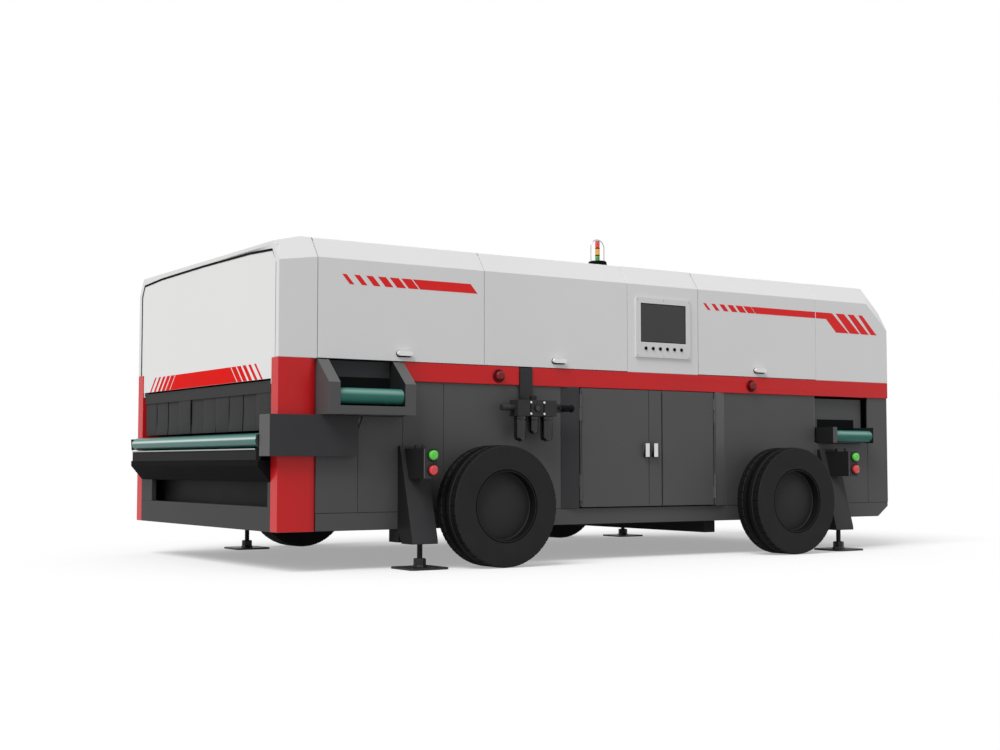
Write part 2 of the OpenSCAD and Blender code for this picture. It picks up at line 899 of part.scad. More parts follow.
module lower_cross_frame()
{
    front = hw + cross_out - 5;
    a = ex(lower_from + 1);
    b = ex(lower_to - 1);
    roller_from = lower_from + lower_cheek_w;
    roller_to = lower_to - lower_cheek_w;
    color([0.3, 0.3, 0.31]) {
        difference() {
            union() {
                for (d = [lower_from, lower_to - lower_cheek_w])
                    block(ex(d), ex(d + lower_cheek_w), -front, hw - 25, lower_floor, lower_top);
                block(a, b, 60 - front, hw - 25, lower_floor, lower_floor + 4);
                block(ex(lower_from), ex(lower_to + 38), 50 - hw, 60 - hw, lower_top - 1, stripe_bottom - 15);
                cross_bed(roller_from - 1, roller_to + 1, lower_z, lower_r);
            }
            cross_bores(roller_from, roller_to, lower_z);
        }
    }
}

module lower_cross_belt()
{
    color([0.24, 0.45, 0.4])
        along_x(ex(lower_from + lower_cheek_w + 3), lower_to - lower_from - 2 * lower_cheek_w - 6)
            cross_loop(lower_z, lower_r);
}

module lower_cross_roller()
{
    color([0.6, 0.61, 0.62])
        cross_roller(lower_from + lower_cheek_w, lower_to - lower_cheek_w, lower_z, lower_r);
}

module camera_housing()
{
    color([0.2, 0.21, 0.23]) {
        block(ex(seam3 + 206), ex(seam3 + 526), 220 - hw, hw - 220, lamp_high, roof_h - 70);
        for (i = [-1:1])
            translate([ex(seam3 + 366), i * (hw / 2), lamp_high - 40])
                cylinder(r = 42, h = 41);
    }
}

module lamp_bars()
{
    color([0.85, 0.87, 0.9])
        for (d = [seam3 + 126, seam3 + 516])
            block(ex(d), ex(d + 90), 220 - hw, hw - 220, lamp_low, lamp_high);
}

module ejector_bar()
{
    color([0.62, 0.63, 0.65]) {
        block(ex(lower_from - 65), ex(lower_from - 21), -frame_in, frame_in, lower_z + 115, lower_z + 175);
        for (i = [-12:12])
            translate([ex(lower_from - 43), i * (frame_in - 120) / 12, lower_z + 174])
                cylinder(r = 7, h = 19);
    }
}

module air_tank()
{
    color([0.55, 0.57, 0.6]) {
        translate([ex(front_axle + 168), 450, sill_top + 170])
            rotate([0, 90, 0])
                rotate_extrude()
                    polygon([[0, 0], [90, 0], [130, 25], [140, 60], [140, 740], [130, 775], [90, 800],
                        [0, 800]]);
        for (d = [front_axle + 268, front_axle + 768])
            block(ex(d), ex(d + 50), 360, 540, sill_top, sill_top + 70);
    }
}

module electrical_panel()
{
    low = sill_top;
    back = 400 - hw;
    face = back - apart;
    d = cabinet_from + 171;
    color([0.75, 0.76, 0.78]) {
        block(ex(d), ex(d + 1020), back, back + 10, low, low + 440);
        for (i = [0:3])
            block(ex(d + 50 + i * 130), ex(d + 150 + i * 130), back - 100, face, low + 230, low + 390);
        block(ex(d + 630), ex(d + 950), back - 120, face, low + 180, low + 400);
        for (z = [low + 40, low + 120])
            block(ex(d + 40), ex(d + 970), back - 30, face, z, z + 35);
    }
}

module control_box(d)
{
    top = box_low + box_h;
    difference() {
        along_x(ex(d - box_w / 2), box_w)
            polygon([[-button_y, box_low], [-button_y, top], [leg_face(top), top],
                [leg_face(box_low), box_low]]);
        for (z = [box_low + 47, box_low + 131])
            bar_y(ex(d + 12), -button_y - 1, 25, z, button_stem_r + run_clear);
    }
    for (y = [60, 140])
        translate([ex(d - 12), y - button_y, top - 1])
            cylinder(r = 9, h = 21);
}

module control_boxes()
{
    color([0.28, 0.28, 0.29]) {
        control_box(box_front);
        control_box(box_rear);
    }
}

module push_button(d, z)
{
    bar_y(ex(d + 12), -button_y - 9, 23, z, button_stem_r);
    bar_y(ex(d + 12), -button_y - 22, 14, z, button_r);
    translate([ex(d + 12), -button_y - 22, z])
        rotate([90, 0, 0])
            cylinder(r1 = button_r, r2 = button_r - 8, h = 6);
}

module start_button_front()
{
    color([0.1, 0.55, 0.2])
        push_button(box_front, box_low + 131);
}

module stop_button_front()
{
    color([0.75, 0.1, 0.1])
        push_button(box_front, box_low + 47);
}

module start_button_rear()
{
    color([0.1, 0.55, 0.2])
        push_button(box_rear, box_low + 131);
}

module stop_button_rear()
{
    color([0.75, 0.1, 0.1])
        push_button(box_rear, box_low + 47);
}

module stop_head(d)
{
    color([0.55, 0.05, 0.07]) {
        bar_y(ex(d), -hw - 8, 18, stop_z, stop_stem_r);
        bar_y(ex(d), -hw - 24, 17, stop_z, stop_r);
        translate([ex(d), -hw - 24, stop_z])
            rotate([90, 0, 0])
                cylinder(r1 = stop_r, r2 = stop_r - 10, h = 8);
    }
}

module stop_head_front()
{
    stop_head(stop_front);
}

module stop_head_rear()
{
    stop_head(stop_rear);
}

module tower_stem()
{
    base = roof_h;
    color([0.15, 0.15, 0.16])
        translate([ex(tower_x), -tower_y, base]) {
            cylinder(r = hoop_r + 10, h = 8);
            cylinder(r = lens_r + 6, h = 24);
            for (s = [-1, 1])
                translate([s * hoop_r, 0, 4])
                    cylinder(r = 4, h = hoop_h - hoop_r - 8);
            translate([0, 0, hoop_h - hoop_r - 4])
                rotate([90, 0, 0])
                    rotate_extrude(angle = 180)
                        translate([hoop_r, 0])
                            circle(r = 4);
        }
}

module tower_lenses()
{
    color([0.75, 0.3, 0.15])
        for (i = [0:2])
            translate([ex(tower_x), -tower_y, roof_h + 24 + i * (lens_h + apart)])
                cylinder(r = lens_r, h = lens_h);
}

module air_unit()
{
    color([0.25, 0.25, 0.26]) {
        difference() {
            union() {
                block(ex(air_x - 45), ex(air_x + 45), -hw - 8, -panel_y, air_z + 4, waist_h - 3);
                block(ex(air_x - 40), ex(air_x + 40), -air_y + 44, -hw - 7, air_z + 20, air_z + 70);
                for (i = [-1:1])
                    translate([ex(air_x + i * air_pitch - air_body_w / 2), -air_y - 45, air_z])
                        cube([air_body_w, 90, air_body_h]);
                bar_x(ex(air_x - 230), 460, -air_y, air_z + 50, 18);
                block(ex(air_x + 150), ex(air_x + 205), -air_y - 26, -air_y + 26, air_z + 24, air_z + 76);
            }
            translate([ex(air_x), -air_y, air_z + air_body_h - 14])
                cylinder(r = 8 + run_clear, h = 20);
            bar_y(ex(air_x + air_fit), -air_y - 40, 26, air_z + 50, 6 + run_clear);
        }
    }
}

module air_bowls()
{
    color([0.18, 0.18, 0.19]) {
        for (s = [-1, 1])
            translate([ex(air_x + s * air_pitch), -air_y, air_z - bowl_l])
                cylinder(r = bowl_r, h = bowl_l);
        translate([ex(air_x), -air_y, air_z - 106])
            cylinder(r = bowl_r - 6, h = 106);
    }
}

module regulator_knob()
{
    color([0.12, 0.12, 0.13])
        translate([ex(air_x), -air_y, air_z + air_body_h]) {
            translate([0, 0, -12])
                cylinder(r = 8, h = 14);
            translate([0, 0, 1])
                cylinder(r = knob_r, h = 24);
            translate([0, 0, 25])
                cylinder(r1 = knob_r, r2 = knob_r - 4, h = 4);
        }
}

module valve_lever()
{
    color([0.8, 0.8, 0.8]) {
        bar_y(ex(air_x + air_fit), -air_y - 40, 24, air_z + 50, 6);
        block(ex(air_x + air_fit - 12), ex(air_x + air_fit + 92), -air_y - 36, -air_y - 28, air_z + 40,
            air_z + 60);
    }
}

// Pin, fixed barrels and leaf of one hood door
module hood_hinge(from, w)
{
    places = barrel_places(w);
    bar_x(ex(from + 0.02 * w), 0.96 * w, -axis_y, axis_z, hinge_pin_r);
    for (s = [places[0] + 82, places[1] + 82, places[2] - 82]) {
        bar_x(ex(from + s), 80, -axis_y, axis_z, hinge_barrel_r);
        block(ex(from + s), ex(from + s + 80), -axis_y, 14 - roof_edge, axis_z - 5, roof_h - 10 - apart);
    }
}

// Pin and fixed barrels of one cabinet door
module cabinet_hinge(d, side)
{
    translate([ex(d), -hinge_y, door_low + 4])
        cylinder(r = hinge_pin_r, h = door_high - door_low - 8);
    for (z = [door_low + 122, door_high - 202])
        translate([ex(d), -hinge_y, z]) {
            cylinder(r = hinge_barrel_r - 1, h = 80);
            translate([side > 0 ? 0 : -10, -3, 0])
                cube([10, 10, 80]);
        }
}

module door_hinges()
{
    color([0.5, 0.51, 0.52]) {
        hood_hinge(seam1, front_door_w);
        hood_hinge(seam2, middle_door_w);
        hood_hinge(seam4, rear_door_w);
        cabinet_hinge(door_from, -1);
        cabinet_hinge(door_to, 1);
    }
}

module hood_door_front()
{
    color([0.84, 0.84, 0.84])
        hood_door(seam1, front_door_w);
}

module hood_door_middle()
{
    color([0.84, 0.84, 0.84])
        hood_door(seam2, middle_door_w);
}

module hood_door_rear()
{
    color([0.84, 0.84, 0.84])
        hood_door(seam4, rear_door_w);
}

// Cabinet door leaf with its barrels and pull handle; the hinge side is at d
module cabinet_door(d0, d1, d, pull)
{
    side = d == d0 ? 1 : -1;
    from = side > 0 ? d0 + 10 : d0;
    to = side > 0 ? d1 : d1 - 10;
    difference() {
        union() {
            block(ex(from), ex(to), -door_y, -panel_back - 3, door_low, door_high);
            for (z = [door_low + 40, door_high - 120])
                translate([ex(d), -hinge_y, z]) {
                    cylinder(r = hinge_barrel_r - 1, h = 80);
                    translate([side > 0 ? 0 : -12, -3, 0])
                        cube([12, 10, 80]);
                }
        }
        translate([ex(d), -hinge_y, door_low - 1])
            cylinder(r = hinge_pin_r + run_clear, h = door_high - door_low + 2);
    }
    block(ex(pull - 16), ex(pull + 16), -door_y - 28, -door_y - apart, pull_z - pull_l / 2,
        pull_z + pull_l / 2);
}

module cabinet_door_left()
{
    color([0.28, 0.28, 0.29])
        cabinet_door(door_from, door_split - 2, door_from, door_split - 33);
}

module cabinet_door_right()
{
    color([0.28, 0.28, 0.29])
        difference() {
            cabinet_door(door_split + 2, door_to, door_to, door_split + 36);
            block(ex(door_split + 103), ex(door_split + 115), -door_y - 1, 16 - door_y, door_low - 1,
                door_high + 1);
        }
}

// Road wheel with its inner face at the given distance, side -1 is the operator side
module wheel(d, side)
{
    translate([ex(d), side * wheel_in, wheel_z])
        rotate([side * -90, 0, 0]) {
            color([0.12, 0.12, 0.12])
                rotate_extrude($fn = 96)
                    polygon([[rim_r + apart, 10], [rim_r + apart, tyre_w - 10], [rim_r + 35, tyre_w],
                        [tyre_r - 18, tyre_w], [tyre_r, tyre_w - 14], [tyre_r, 14], [tyre_r - 18, 0],
                        [rim_r + 35, 0]]);
            color([0.2, 0.2, 0.2])
                rotate_extrude($fn = 96)
                    polygon([[0, 166], [stub_r + run_clear, 166], [stub_r + run_clear, 20], [60, 20],
                        [60, 100], [rim_r - 16, 90], [rim_r - 16, 10], [rim_r, 10], [rim_r, tyre_w - 10],
                        [rim_r - 16, tyre_w - 10], [rim_r - 16, 125], [60, 135], [60, 178], [0, 178]]);
        }
}

module wheel_front_near()
{
    wheel(front_axle, -1);
}

module wheel_front_far()
{
    wheel(front_axle, 1);
}

module wheel_rear_near()
{
    wheel(rear_axle, -1);
}

module wheel_rear_far()
{
    wheel(rear_axle, 1);
}

module jack(d, side)
{
    color([0.13, 0.13, 0.14])
        translate([ex(d), side * jack_y, 0]) {
            translate([-foot_side / 2, -foot_side / 2, 0])
                cube([foot_side, foot_side, 12]);
            cylinder(r = 37, h = 60);
            cylinder(r = jack_r, h = 225);
        }
}

module jack_front_near()
{
    jack(front_leg, -1);
}

module jack_front_far()
{
    jack(front_leg, 1);
}

module jack_rear_near()
{
    jack(rear_leg, -1);
}

module jack_rear_far()
{
    jack(rear_leg, 1);
}

module curtain()
{
    reach = inner - 25;
    pitch = 2 * reach / strip_count;
    color([0.2, 0.2, 0.21]) {
        bar_y(ex(curtain_x), 6 - inner, 2 * inner - 12, curtain_z, curtain_rod_r);
        for (i = [0:strip_count - 1])
            translate([ex(curtain_x - strip_t / 2), i * pitch - reach + 2, strip_low])
                cube([strip_t, pitch - 4, curtain_z - strip_low]);
    }
}

chassis_frame();
inner_frame();
roof_panel();
front_hood();
rear_hood();
infeed_end_panel();
corner_posts();
waist_stripes();
lower_panels();
infeed_lower_frame();
far_hood_panels();
screen_panel();
monitor();
screen_glass();
axles();
jack_legs();
infeed_frame();
infeed_belt();
infeed_drive_cover();
upper_cross_frame();
upper_cross_belt();
lower_cross_frame();
lower_cross_belt();
camera_housing();
lamp_bars();
ejector_bar();
air_tank();
electrical_panel();
control_boxes();
tower_stem();
tower_lenses();
air_unit();
air_bowls();
door_hinges();
hood_door_front();
hood_door_middle();
hood_door_rear();
cabinet_door_left();
cabinet_door_right();
wheel_front_near();
wheel_front_far();
wheel_rear_near();
wheel_rear_far();
jack_front_near();
jack_front_far();
jack_rear_near();
jack_rear_far();
start_button_front();
stop_button_front();
start_button_rear();
stop_button_rear();
stop_head_front();
stop_head_rear();
curtain();
infeed_nose_roller();
infeed_head_roller();
upper_cross_roller();
lower_cross_roller();
regulator_knob();
valve_lever();
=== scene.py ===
"""Looks of a mobile optical colour sorter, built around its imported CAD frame. Metres."""
import math

import bmesh
import bpy
from mathutils import Matrix, Vector

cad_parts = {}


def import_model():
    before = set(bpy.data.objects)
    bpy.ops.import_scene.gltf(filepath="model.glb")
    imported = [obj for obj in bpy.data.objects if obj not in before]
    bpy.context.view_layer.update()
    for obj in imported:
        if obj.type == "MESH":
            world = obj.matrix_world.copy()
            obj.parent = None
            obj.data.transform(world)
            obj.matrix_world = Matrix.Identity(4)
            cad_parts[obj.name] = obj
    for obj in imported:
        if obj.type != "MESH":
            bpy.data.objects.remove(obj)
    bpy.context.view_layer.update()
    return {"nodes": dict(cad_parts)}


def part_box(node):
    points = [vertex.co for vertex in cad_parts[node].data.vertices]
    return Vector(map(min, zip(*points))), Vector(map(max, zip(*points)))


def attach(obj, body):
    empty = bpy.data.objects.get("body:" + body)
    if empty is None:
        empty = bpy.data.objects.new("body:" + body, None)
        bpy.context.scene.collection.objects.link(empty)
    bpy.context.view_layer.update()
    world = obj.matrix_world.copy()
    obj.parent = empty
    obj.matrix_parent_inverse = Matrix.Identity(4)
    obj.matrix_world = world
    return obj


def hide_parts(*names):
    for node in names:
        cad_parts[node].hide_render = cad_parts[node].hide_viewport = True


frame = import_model()
nodes = frame["nodes"]

# Places taken from the frame
post_low, post_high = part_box("corner_posts")
END_X = post_low.x
SIDE_Y = post_low.y
HOOD_Z = post_high.z
trough_low, trough_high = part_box("upper_cross_frame")
TROUGH_X = (trough_low.x + trough_high.x) / 2
TOWER_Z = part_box("tower_stem")[0].z + 0.026

# Places where the paint or the painted shade of a node changes, and how far its outermost faces stand off the
# side
LIP_Z = 0.6105
SILL_Y = 1.08
RECESS_X = END_X + 0.09
HOPPER_X = END_X + 0.12
HOOD_HANDLE_OUT = 0.0002
CABINET_HANDLE_OUT = 0.0205
KEY_OUT = 0.0121

# Parts of the names of nodes
SIDE_NAMES = ("near", "far")
AXLE_NAMES = ("front", "rear")
HOOD_DOORS = ("front", "middle", "rear")


def along(distance):
    """Place along the machine at a distance from its infeed end."""
    return END_X + distance


def srgb(*levels):
    """Linear colour from 0 to 255 screen levels."""
    return [((v / 255 + 0.055) / 1.055) ** 2.4 if v > 10 else v / 255 / 12.92 for v in levels]


# Materials

def surface(name, level, rough, metallic=0.0, spread=0.05, patch=2.5, grain=900.0, bump=0.04, depth=0.0004,
            rough_spread=0.08, coat=0.0, low_dirt=0.0, brushed=None, spec=0.5, painted_sheen=None):
    """Procedural finish: cloudy colour, uneven gloss and a fine grain, in the part's own coordinates.

    The painted sheen is a painted highlight: a paler colour with its strength, and the upward lean of a face
    where it starts, peaks and ends.
    """
    mat = bpy.data.materials.new(name)
    mat.use_nodes = True
    tree = mat.node_tree
    make, link = tree.nodes.new, tree.links.new
    shader = tree.nodes["Principled BSDF"]
    coords = make("ShaderNodeTexCoord")
    colour = srgb(*level)

    cloud = make("ShaderNodeTexNoise")
    cloud.inputs["Scale"].default_value = patch
    cloud.inputs["Detail"].default_value = 6.0
    link(coords.outputs["Object"], cloud.inputs["Vector"])
    ramp = make("ShaderNodeValToRGB")
    ramp.color_ramp.elements[0].position = 0.3
    ramp.color_ramp.elements[1].position = 0.7
    ramp.color_ramp.elements[0].color = [c * (1 - spread) for c in colour] + [1]
    ramp.color_ramp.elements[1].color = [min(1, c * (1 + spread)) for c in colour] + [1]
    link(cloud.outputs["Fac"], ramp.inputs["Fac"])
    tint = ramp.outputs["Color"]
    if low_dirt:
        split = make("ShaderNodeSeparateXYZ")
        link(coords.outputs["Object"], split.inputs["Vector"])
        height = make("ShaderNodeMapRange")
        height.inputs["From Min"].default_value = 0.15
        height.inputs["From Max"].default_value = 0.75
        height.inputs["To Min"].default_value = low_dirt
        height.inputs["To Max"].default_value = 0.0
        link(split.outputs["Z"], height.inputs["Value"])
        speck = make("ShaderNodeMath")
        speck.operation = "MULTIPLY"
        link(height.outputs["Result"], speck.inputs[0])
        link(cloud.outputs["Fac"], speck.inputs[1])
        dirt = make("ShaderNodeMix")
        dirt.data_type = "RGBA"
        dirt.inputs["B"].default_value = srgb(96, 90, 82) + [1]
        link(speck.outputs["Value"], dirt.inputs["Factor"])
        link(tint, dirt.inputs["A"])
        tint = dirt.outputs["Result"]
    # Painted highlight: a paler band on faces that lean up by the given amounts, standing in for a sheen.
    if painted_sheen:
        facing = make("ShaderNodeNewGeometry")
        split = make("ShaderNodeSeparateXYZ")
        link(facing.outputs["Normal"], split.inputs["Vector"])
        band = make("ShaderNodeValToRGB")
        band.color_ramp.interpolation = "EASE"
        sheen_level, strength, first, peak, last = painted_sheen
        for place, share in ((first, 0.0), (peak, strength), (last, 0.0)):
            stop = band.color_ramp.elements.new(place)
            stop.color = (share, share, share, 1)
        band.color_ramp.elements[0].color = (0, 0, 0, 1)
        band.color_ramp.elements[-1].color = (0, 0, 0, 1)
        link(split.outputs["Z"], band.inputs["Fac"])
        sheen = make("ShaderNodeMix")
        sheen.data_type = "RGBA"
        sheen.inputs["B"].default_value = srgb(*sheen_level) + [1]
        link(band.outputs["Color"], sheen.inputs["Factor"])
        link(tint, sheen.inputs["A"])
        tint = sheen.outputs["Result"]
    link(tint, shader.inputs["Base Color"])

    gloss = make("ShaderNodeMapRange")
    gloss.inputs["To Min"].default_value = max(0.02, rough - rough_spread)
    gloss.inputs["To Max"].default_value = min(1.0, rough + rough_spread)
    link(cloud.outputs["Fac"], gloss.inputs["Value"])
    link(gloss.outputs["Result"], shader.inputs["Roughness"])

    fine = make("ShaderNodeTexNoise")
    fine.inputs["Scale"].default_value = grain
    fine.inputs["Detail"].default_value = 2.0
    if brushed:
        stretch = make("ShaderNodeMapping")
        stretch.inputs["Scale"].default_value = brushed
        link(coords.outputs["Object"], stretch.inputs["Vector"])
        link(stretch.outputs["Vector"], fine.inputs["Vector"])
    else:
        link(coords.outputs["Object"], fine.inputs["Vector"])
    relief = make("ShaderNodeBump")
    relief.inputs["Strength"].default_value = bump
    relief.inputs["Distance"].default_value = depth
    link(fine.outputs["Fac"], relief.inputs["Height"])
    link(relief.outputs["Normal"], shader.inputs["Normal"])

    shader.inputs["Metallic"].default_value = metallic
    shader.inputs["Specular IOR Level"].default_value = spec
    shader.inputs["Coat Weight"].default_value = coat
    shader.inputs["Coat Roughness"].default_value = 0.15
    return mat


WHITE = surface("white_paint", (221, 221, 221), 0.42, spread=0.015, patch=1.2, bump=0.05, coat=0.1, spec=0.3)
PANEL_WHITE = surface("end_panel_paint", (226, 226, 225), 0.45, spread=0.012, patch=1.2, bump=0.05)
RED = surface("red_paint", (203, 26, 30), 0.38, spread=0.05, patch=1.6, bump=0.05, coat=0.08, low_dirt=0.06,
              spec=0.25)
VINYL = surface("red_vinyl", (226, 34, 34), 0.35, spread=0.03, patch=4.0, bump=0.03, spec=0.2)
END_VINYL = surface("end_vinyl", (224, 24, 20), 0.5, spread=0.03, patch=4.0, bump=0.03, spec=0.02)
CHARCOAL = surface("charcoal_paint", (80, 80, 81), 0.5, spread=0.06, patch=1.4, bump=0.12, low_dirt=0.08,
                   spec=0.25)
# Grey paint, also used as a painted highlight on the right bevels of the lower panels.
GREY_AND_HIGHLIGHT = surface("grey_paint_and_highlight", (94, 94, 95), 0.46, spread=0.05, patch=2.0, bump=0.12, low_dirt=0.05, spec=0.3)
# Painted highlight: a paler grey for sloped tops and edge strips that catch the light.
HIGHLIGHT_GREY = surface("painted_highlight_grey", (90, 90, 91), 0.46, spread=0.05, patch=2.0, bump=0.12, spec=0.3)
# Painted shade: darker paints for the lip under the infeed belt, and for the hopper and the gaps above the
# cross belts.
SHADE_GREY = surface("lip_painted_shade", (44, 44, 45), 0.7, spread=0.06, patch=2.0, bump=0.12, spec=0.04)
HOPPER_SHADE = surface("hopper_painted_shade", (19, 19, 20), 0.85, spread=0.1, patch=2.0, bump=0.12, spec=0.05)
SHADE = surface("shaded_paint", (30, 30, 31), 0.6, spread=0.08, patch=3.0, bump=0.12, spec=0.1)
# Leg paint, also used as painted shade on the left bevels of the lower panels, in the recess of the upper
# cross frame and on the sides of the drive cover.
LEG_PAINT_AND_SHADE = surface("leg_paint_and_shade", (58, 58, 60), 0.55, spread=0.06, patch=3.0, bump=0.12, low_dirt=0.05,
                    spec=0.12)
DARK = surface("dark_paint", (30, 30, 32), 0.6, spread=0.08, patch=3.0, bump=0.1, low_dirt=0.06, spec=0.12)
FRAME_GREY = surface("frame_paint", (112, 114, 118), 0.5, spread=0.06, patch=2.0, bump=0.1)
# The belts carry a painted sheen, a painted highlight where they turn over their rollers.
BELT = surface("belt_rubber", (38, 100, 91), 0.32, spread=0.07, patch=9.0, grain=1400, bump=0.05, coat=0.04,
               spec=0.25, painted_sheen=((212, 230, 226), 0.72, 0.01, 0.27, 0.60))
CROSS_BELT = surface("cross_belt_rubber", (44, 106, 96), 0.4, spread=0.07, patch=9.0, grain=1400, bump=0.05,
                     spec=0.2, painted_sheen=((150, 184, 174), 0.55, 0.05, 0.55, 0.95))
CURTAIN = surface("curtain_rubber", (46, 46, 47), 0.65, spread=0.08, patch=6.0, bump=0.12, spec=0.15)
TYRE = surface("tyre_rubber", (36, 36, 37), 0.8, spread=0.1, patch=9.0, grain=500, bump=0.2, spec=0.15,
               low_dirt=0.06)
# Painted shade: near black for the round faces of the tyres and rims.
WHEEL_SHADE = surface("wheel_round_shade", (15, 15, 16), 0.85, spread=0.12, patch=9.0, grain=500, bump=0.2, spec=0.1)
RIM = surface("rim_paint", (38, 38, 39), 0.65, spread=0.08, patch=6.0, bump=0.12, spec=0.2, low_dirt=0.05)
STEEL = surface("brushed_steel", (172, 174, 177), 0.32, metallic=1.0, spread=0.06, patch=20.0, grain=260,
                bump=0.1, brushed=(1, 12, 12))
ZINC = surface("zinc_bolts", (205, 206, 208), 0.28, metallic=1.0, spread=0.06, patch=60.0, bump=0.08)
BLACK_STEEL = surface("black_steel", (30, 30, 32), 0.45, metallic=0.3, spread=0.12, patch=14.0, bump=0.15)
BEZEL = surface("bezel_paint", (216, 216, 216), 0.45, spread=0.02, patch=3.0, bump=0.06)
SCREEN = surface("screen_glass", (56, 56, 56), 0.3, spread=0.05, patch=3.0, bump=0.01, rough_spread=0.04,
                 spec=0.3)
# Black rubber, also used as painted shade for the line round the end panel and the shadows under the door
# handles.
KEY_AND_SHADE = surface("key_rubber_and_shade", (14, 14, 15), 0.6, spread=0.1, patch=60.0, bump=0.1, spec=0.05)
SCRAPER = surface("scraper_plastic", (168, 174, 172), 0.4, spread=0.03, patch=14.0, bump=0.04, spec=0.2)
HANDLE = surface("handle_white", (238, 238, 236), 0.35, spread=0.02, patch=14.0, bump=0.04, coat=0.3)
# Black plastic, also used as painted shade under the end panel's edges and on the sides of the cabinet
# handles.
BLACK_AND_SHADE = surface("black_plastic_and_shade", (24, 24, 26), 0.42, spread=0.1, patch=22.0, bump=0.14, spec=0.2)
AIR_METAL = surface("air_unit_casting", (44, 44, 45), 0.4, spread=0.1, patch=24.0, bump=0.2, spec=0.2)
BOWL = surface("bowl_guard", (17, 17, 18), 0.16, spread=0.1, patch=30.0, bump=0.05, spec=0.5)
LENS_RED = surface("lens_red", (226, 40, 34), 0.2, spread=0.1, patch=50.0, grain=300, bump=0.1, coat=0.5)
LENS_AMBER = surface("lens_amber", (236, 168, 46), 0.2, spread=0.1, patch=50.0, grain=300, bump=0.1, coat=0.5)
LENS_GREEN = surface("lens_green", (58, 160, 74), 0.2, spread=0.1, patch=50.0, grain=300, bump=0.1, coat=0.5)
BUTTON_GREEN = surface("button_green", (84, 208, 58), 0.25, spread=0.08, patch=40.0, bump=0.04, coat=0.5)
BUTTON_RED = surface("button_red", (214, 48, 50), 0.25, spread=0.08, patch=40.0, bump=0.04, coat=0.5)
STOP_RED = surface("stop_red", (112, 10, 15), 0.32, spread=0.08, patch=40.0, bump=0.04, coat=0.1, spec=0.3)
COLLAR_RED = surface("collar_red", (84, 8, 12), 0.4, spread=0.08, patch=40.0, bump=0.04, spec=0.2)
LAMP = surface("lamp_diffuser", (226, 230, 234), 0.3, spread=0.02, patch=6.0, bump=0.05, coat=0.3)
MODULE = surface("module_plastic", (188, 190, 194), 0.5, spread=0.05, patch=12.0, bump=0.1)
TANK = surface("tank_paint", (92, 102, 112), 0.4, spread=0.05, patch=4.0, bump=0.1, coat=0.2)


# CAD nodes

def smooth_edges(obj, width):
    """Rounded edges and clean shading on a mesh."""
    for polygon in obj.data.polygons:
        polygon.use_smooth = True
    weld = obj.modifiers.new("weld", "WELD")
    weld.merge_threshold = 0.00001
    if width:
        bevel = obj.modifiers.new("bevel", "BEVEL")
        bevel.width = width
        bevel.segments = 2
        bevel.limit_method = "ANGLE"
        bevel.angle_limit = math.radians(30)
        bevel.use_clamp_overlap = True
        bevel.miter_outer = "MITER_ARC"
    normal = obj.modifiers.new("normal", "WEIGHTED_NORMAL")
    normal.weight = 60
    normal.keep_sharp = True


def dress(name, material, width=0.002, rules=()):
    """Finish of a CAD node; each rule gives faces that pass its test another material, often painted shade or
    painted highlight.
    """
    obj = nodes[name]
    mesh = obj.data
    mesh.materials.clear()
    for each in [material] + [r[0] for r in rules]:
        mesh.materials.append(each)
    for polygon in mesh.polygons:
        polygon.material_index = 0
        for index, rule in enumerate(rules, 1):
            if rule[1](polygon.center, polygon.normal):
                polygon.material_index = index
    smooth_edges(obj, width)


def outside(depth):
    """Test for faces that stand further out than a depth from the side plane."""
    return lambda centre, normal: centre.y < SIDE_Y - depth


def front_of(depth):
    """Test for faces that look out to the operator side, further out than a depth."""
    return lambda centre, normal: centre.y < SIDE_Y - depth and normal.y < -0.5


def to_infeed(centre, normal):
    """Test for faces that look towards the infeed end."""
    return normal.x < -0.5


def left_bevel(centre, normal):
    """Test for operator side faces that lean towards the infeed end."""
    return normal.x < -0.05 and normal.y < -0.5


def right_bevel(centre, normal):
    """Test for operator side faces that lean towards the other end."""
    return normal.x > 0.05 and normal.y < -0.5


def recess(centre, normal):
    """Test for operator side faces that lie behind the side plane."""
    return normal.y < -0.5 and SIDE_Y + 0.02 < centre.y < 0


def sloped_top(centre, normal):
    """Test for tops that fall away to the operator side."""
    return normal.z > 0.3 and normal.y < -0.3


for door in HOOD_DOORS:
    dress("hood_door_" + door, WHITE, 0.0025, [(HANDLE, outside(HOOD_HANDLE_OUT))])
for name in ("front_hood", "rear_hood", "roof_panel", "far_hood_panels", "screen_panel"):
    dress(name, WHITE, 0.0025)
# Painted shade: faces of the end panel that look down are painted black.
dress("infeed_end_panel", PANEL_WHITE, 0.0025, [(BLACK_AND_SHADE, lambda centre, normal: normal.z < -0.7)])
dress("corner_posts", RED, 0.004)
dress("waist_stripes", RED, 0.003)
# Painted shade: the sides of the cabinet door handles are painted black, their fronts white.
for side in ("left", "right"):
    dress("cabinet_door_" + side, CHARCOAL, 0.0025,
          [(BLACK_AND_SHADE, outside(CABINET_HANDLE_OUT)), (HANDLE, front_of(CABINET_HANDLE_OUT))])
# Painted shade and highlight: left bevels of the lower panels get the dimmer leg paint, right bevels the
# lighter grey paint.
dress("lower_panels", CHARCOAL, 0.002, [(LEG_PAINT_AND_SHADE, left_bevel), (GREY_AND_HIGHLIGHT, right_bevel)])
dress("chassis_frame", DARK, 0.004, [(CHARCOAL, lambda centre, normal: abs(centre.y) > SILL_Y)])
# Painted shade in the recess of the lower infeed frame.
dress("infeed_lower_frame", LEG_PAINT_AND_SHADE, 0.003, [(SHADE, lambda centre, normal: centre.x > RECESS_X)])
# Painted shade on the faces of the legs that look towards the infeed end.
dress("jack_legs", LEG_PAINT_AND_SHADE, 0.004, [(SHADE, to_infeed)])
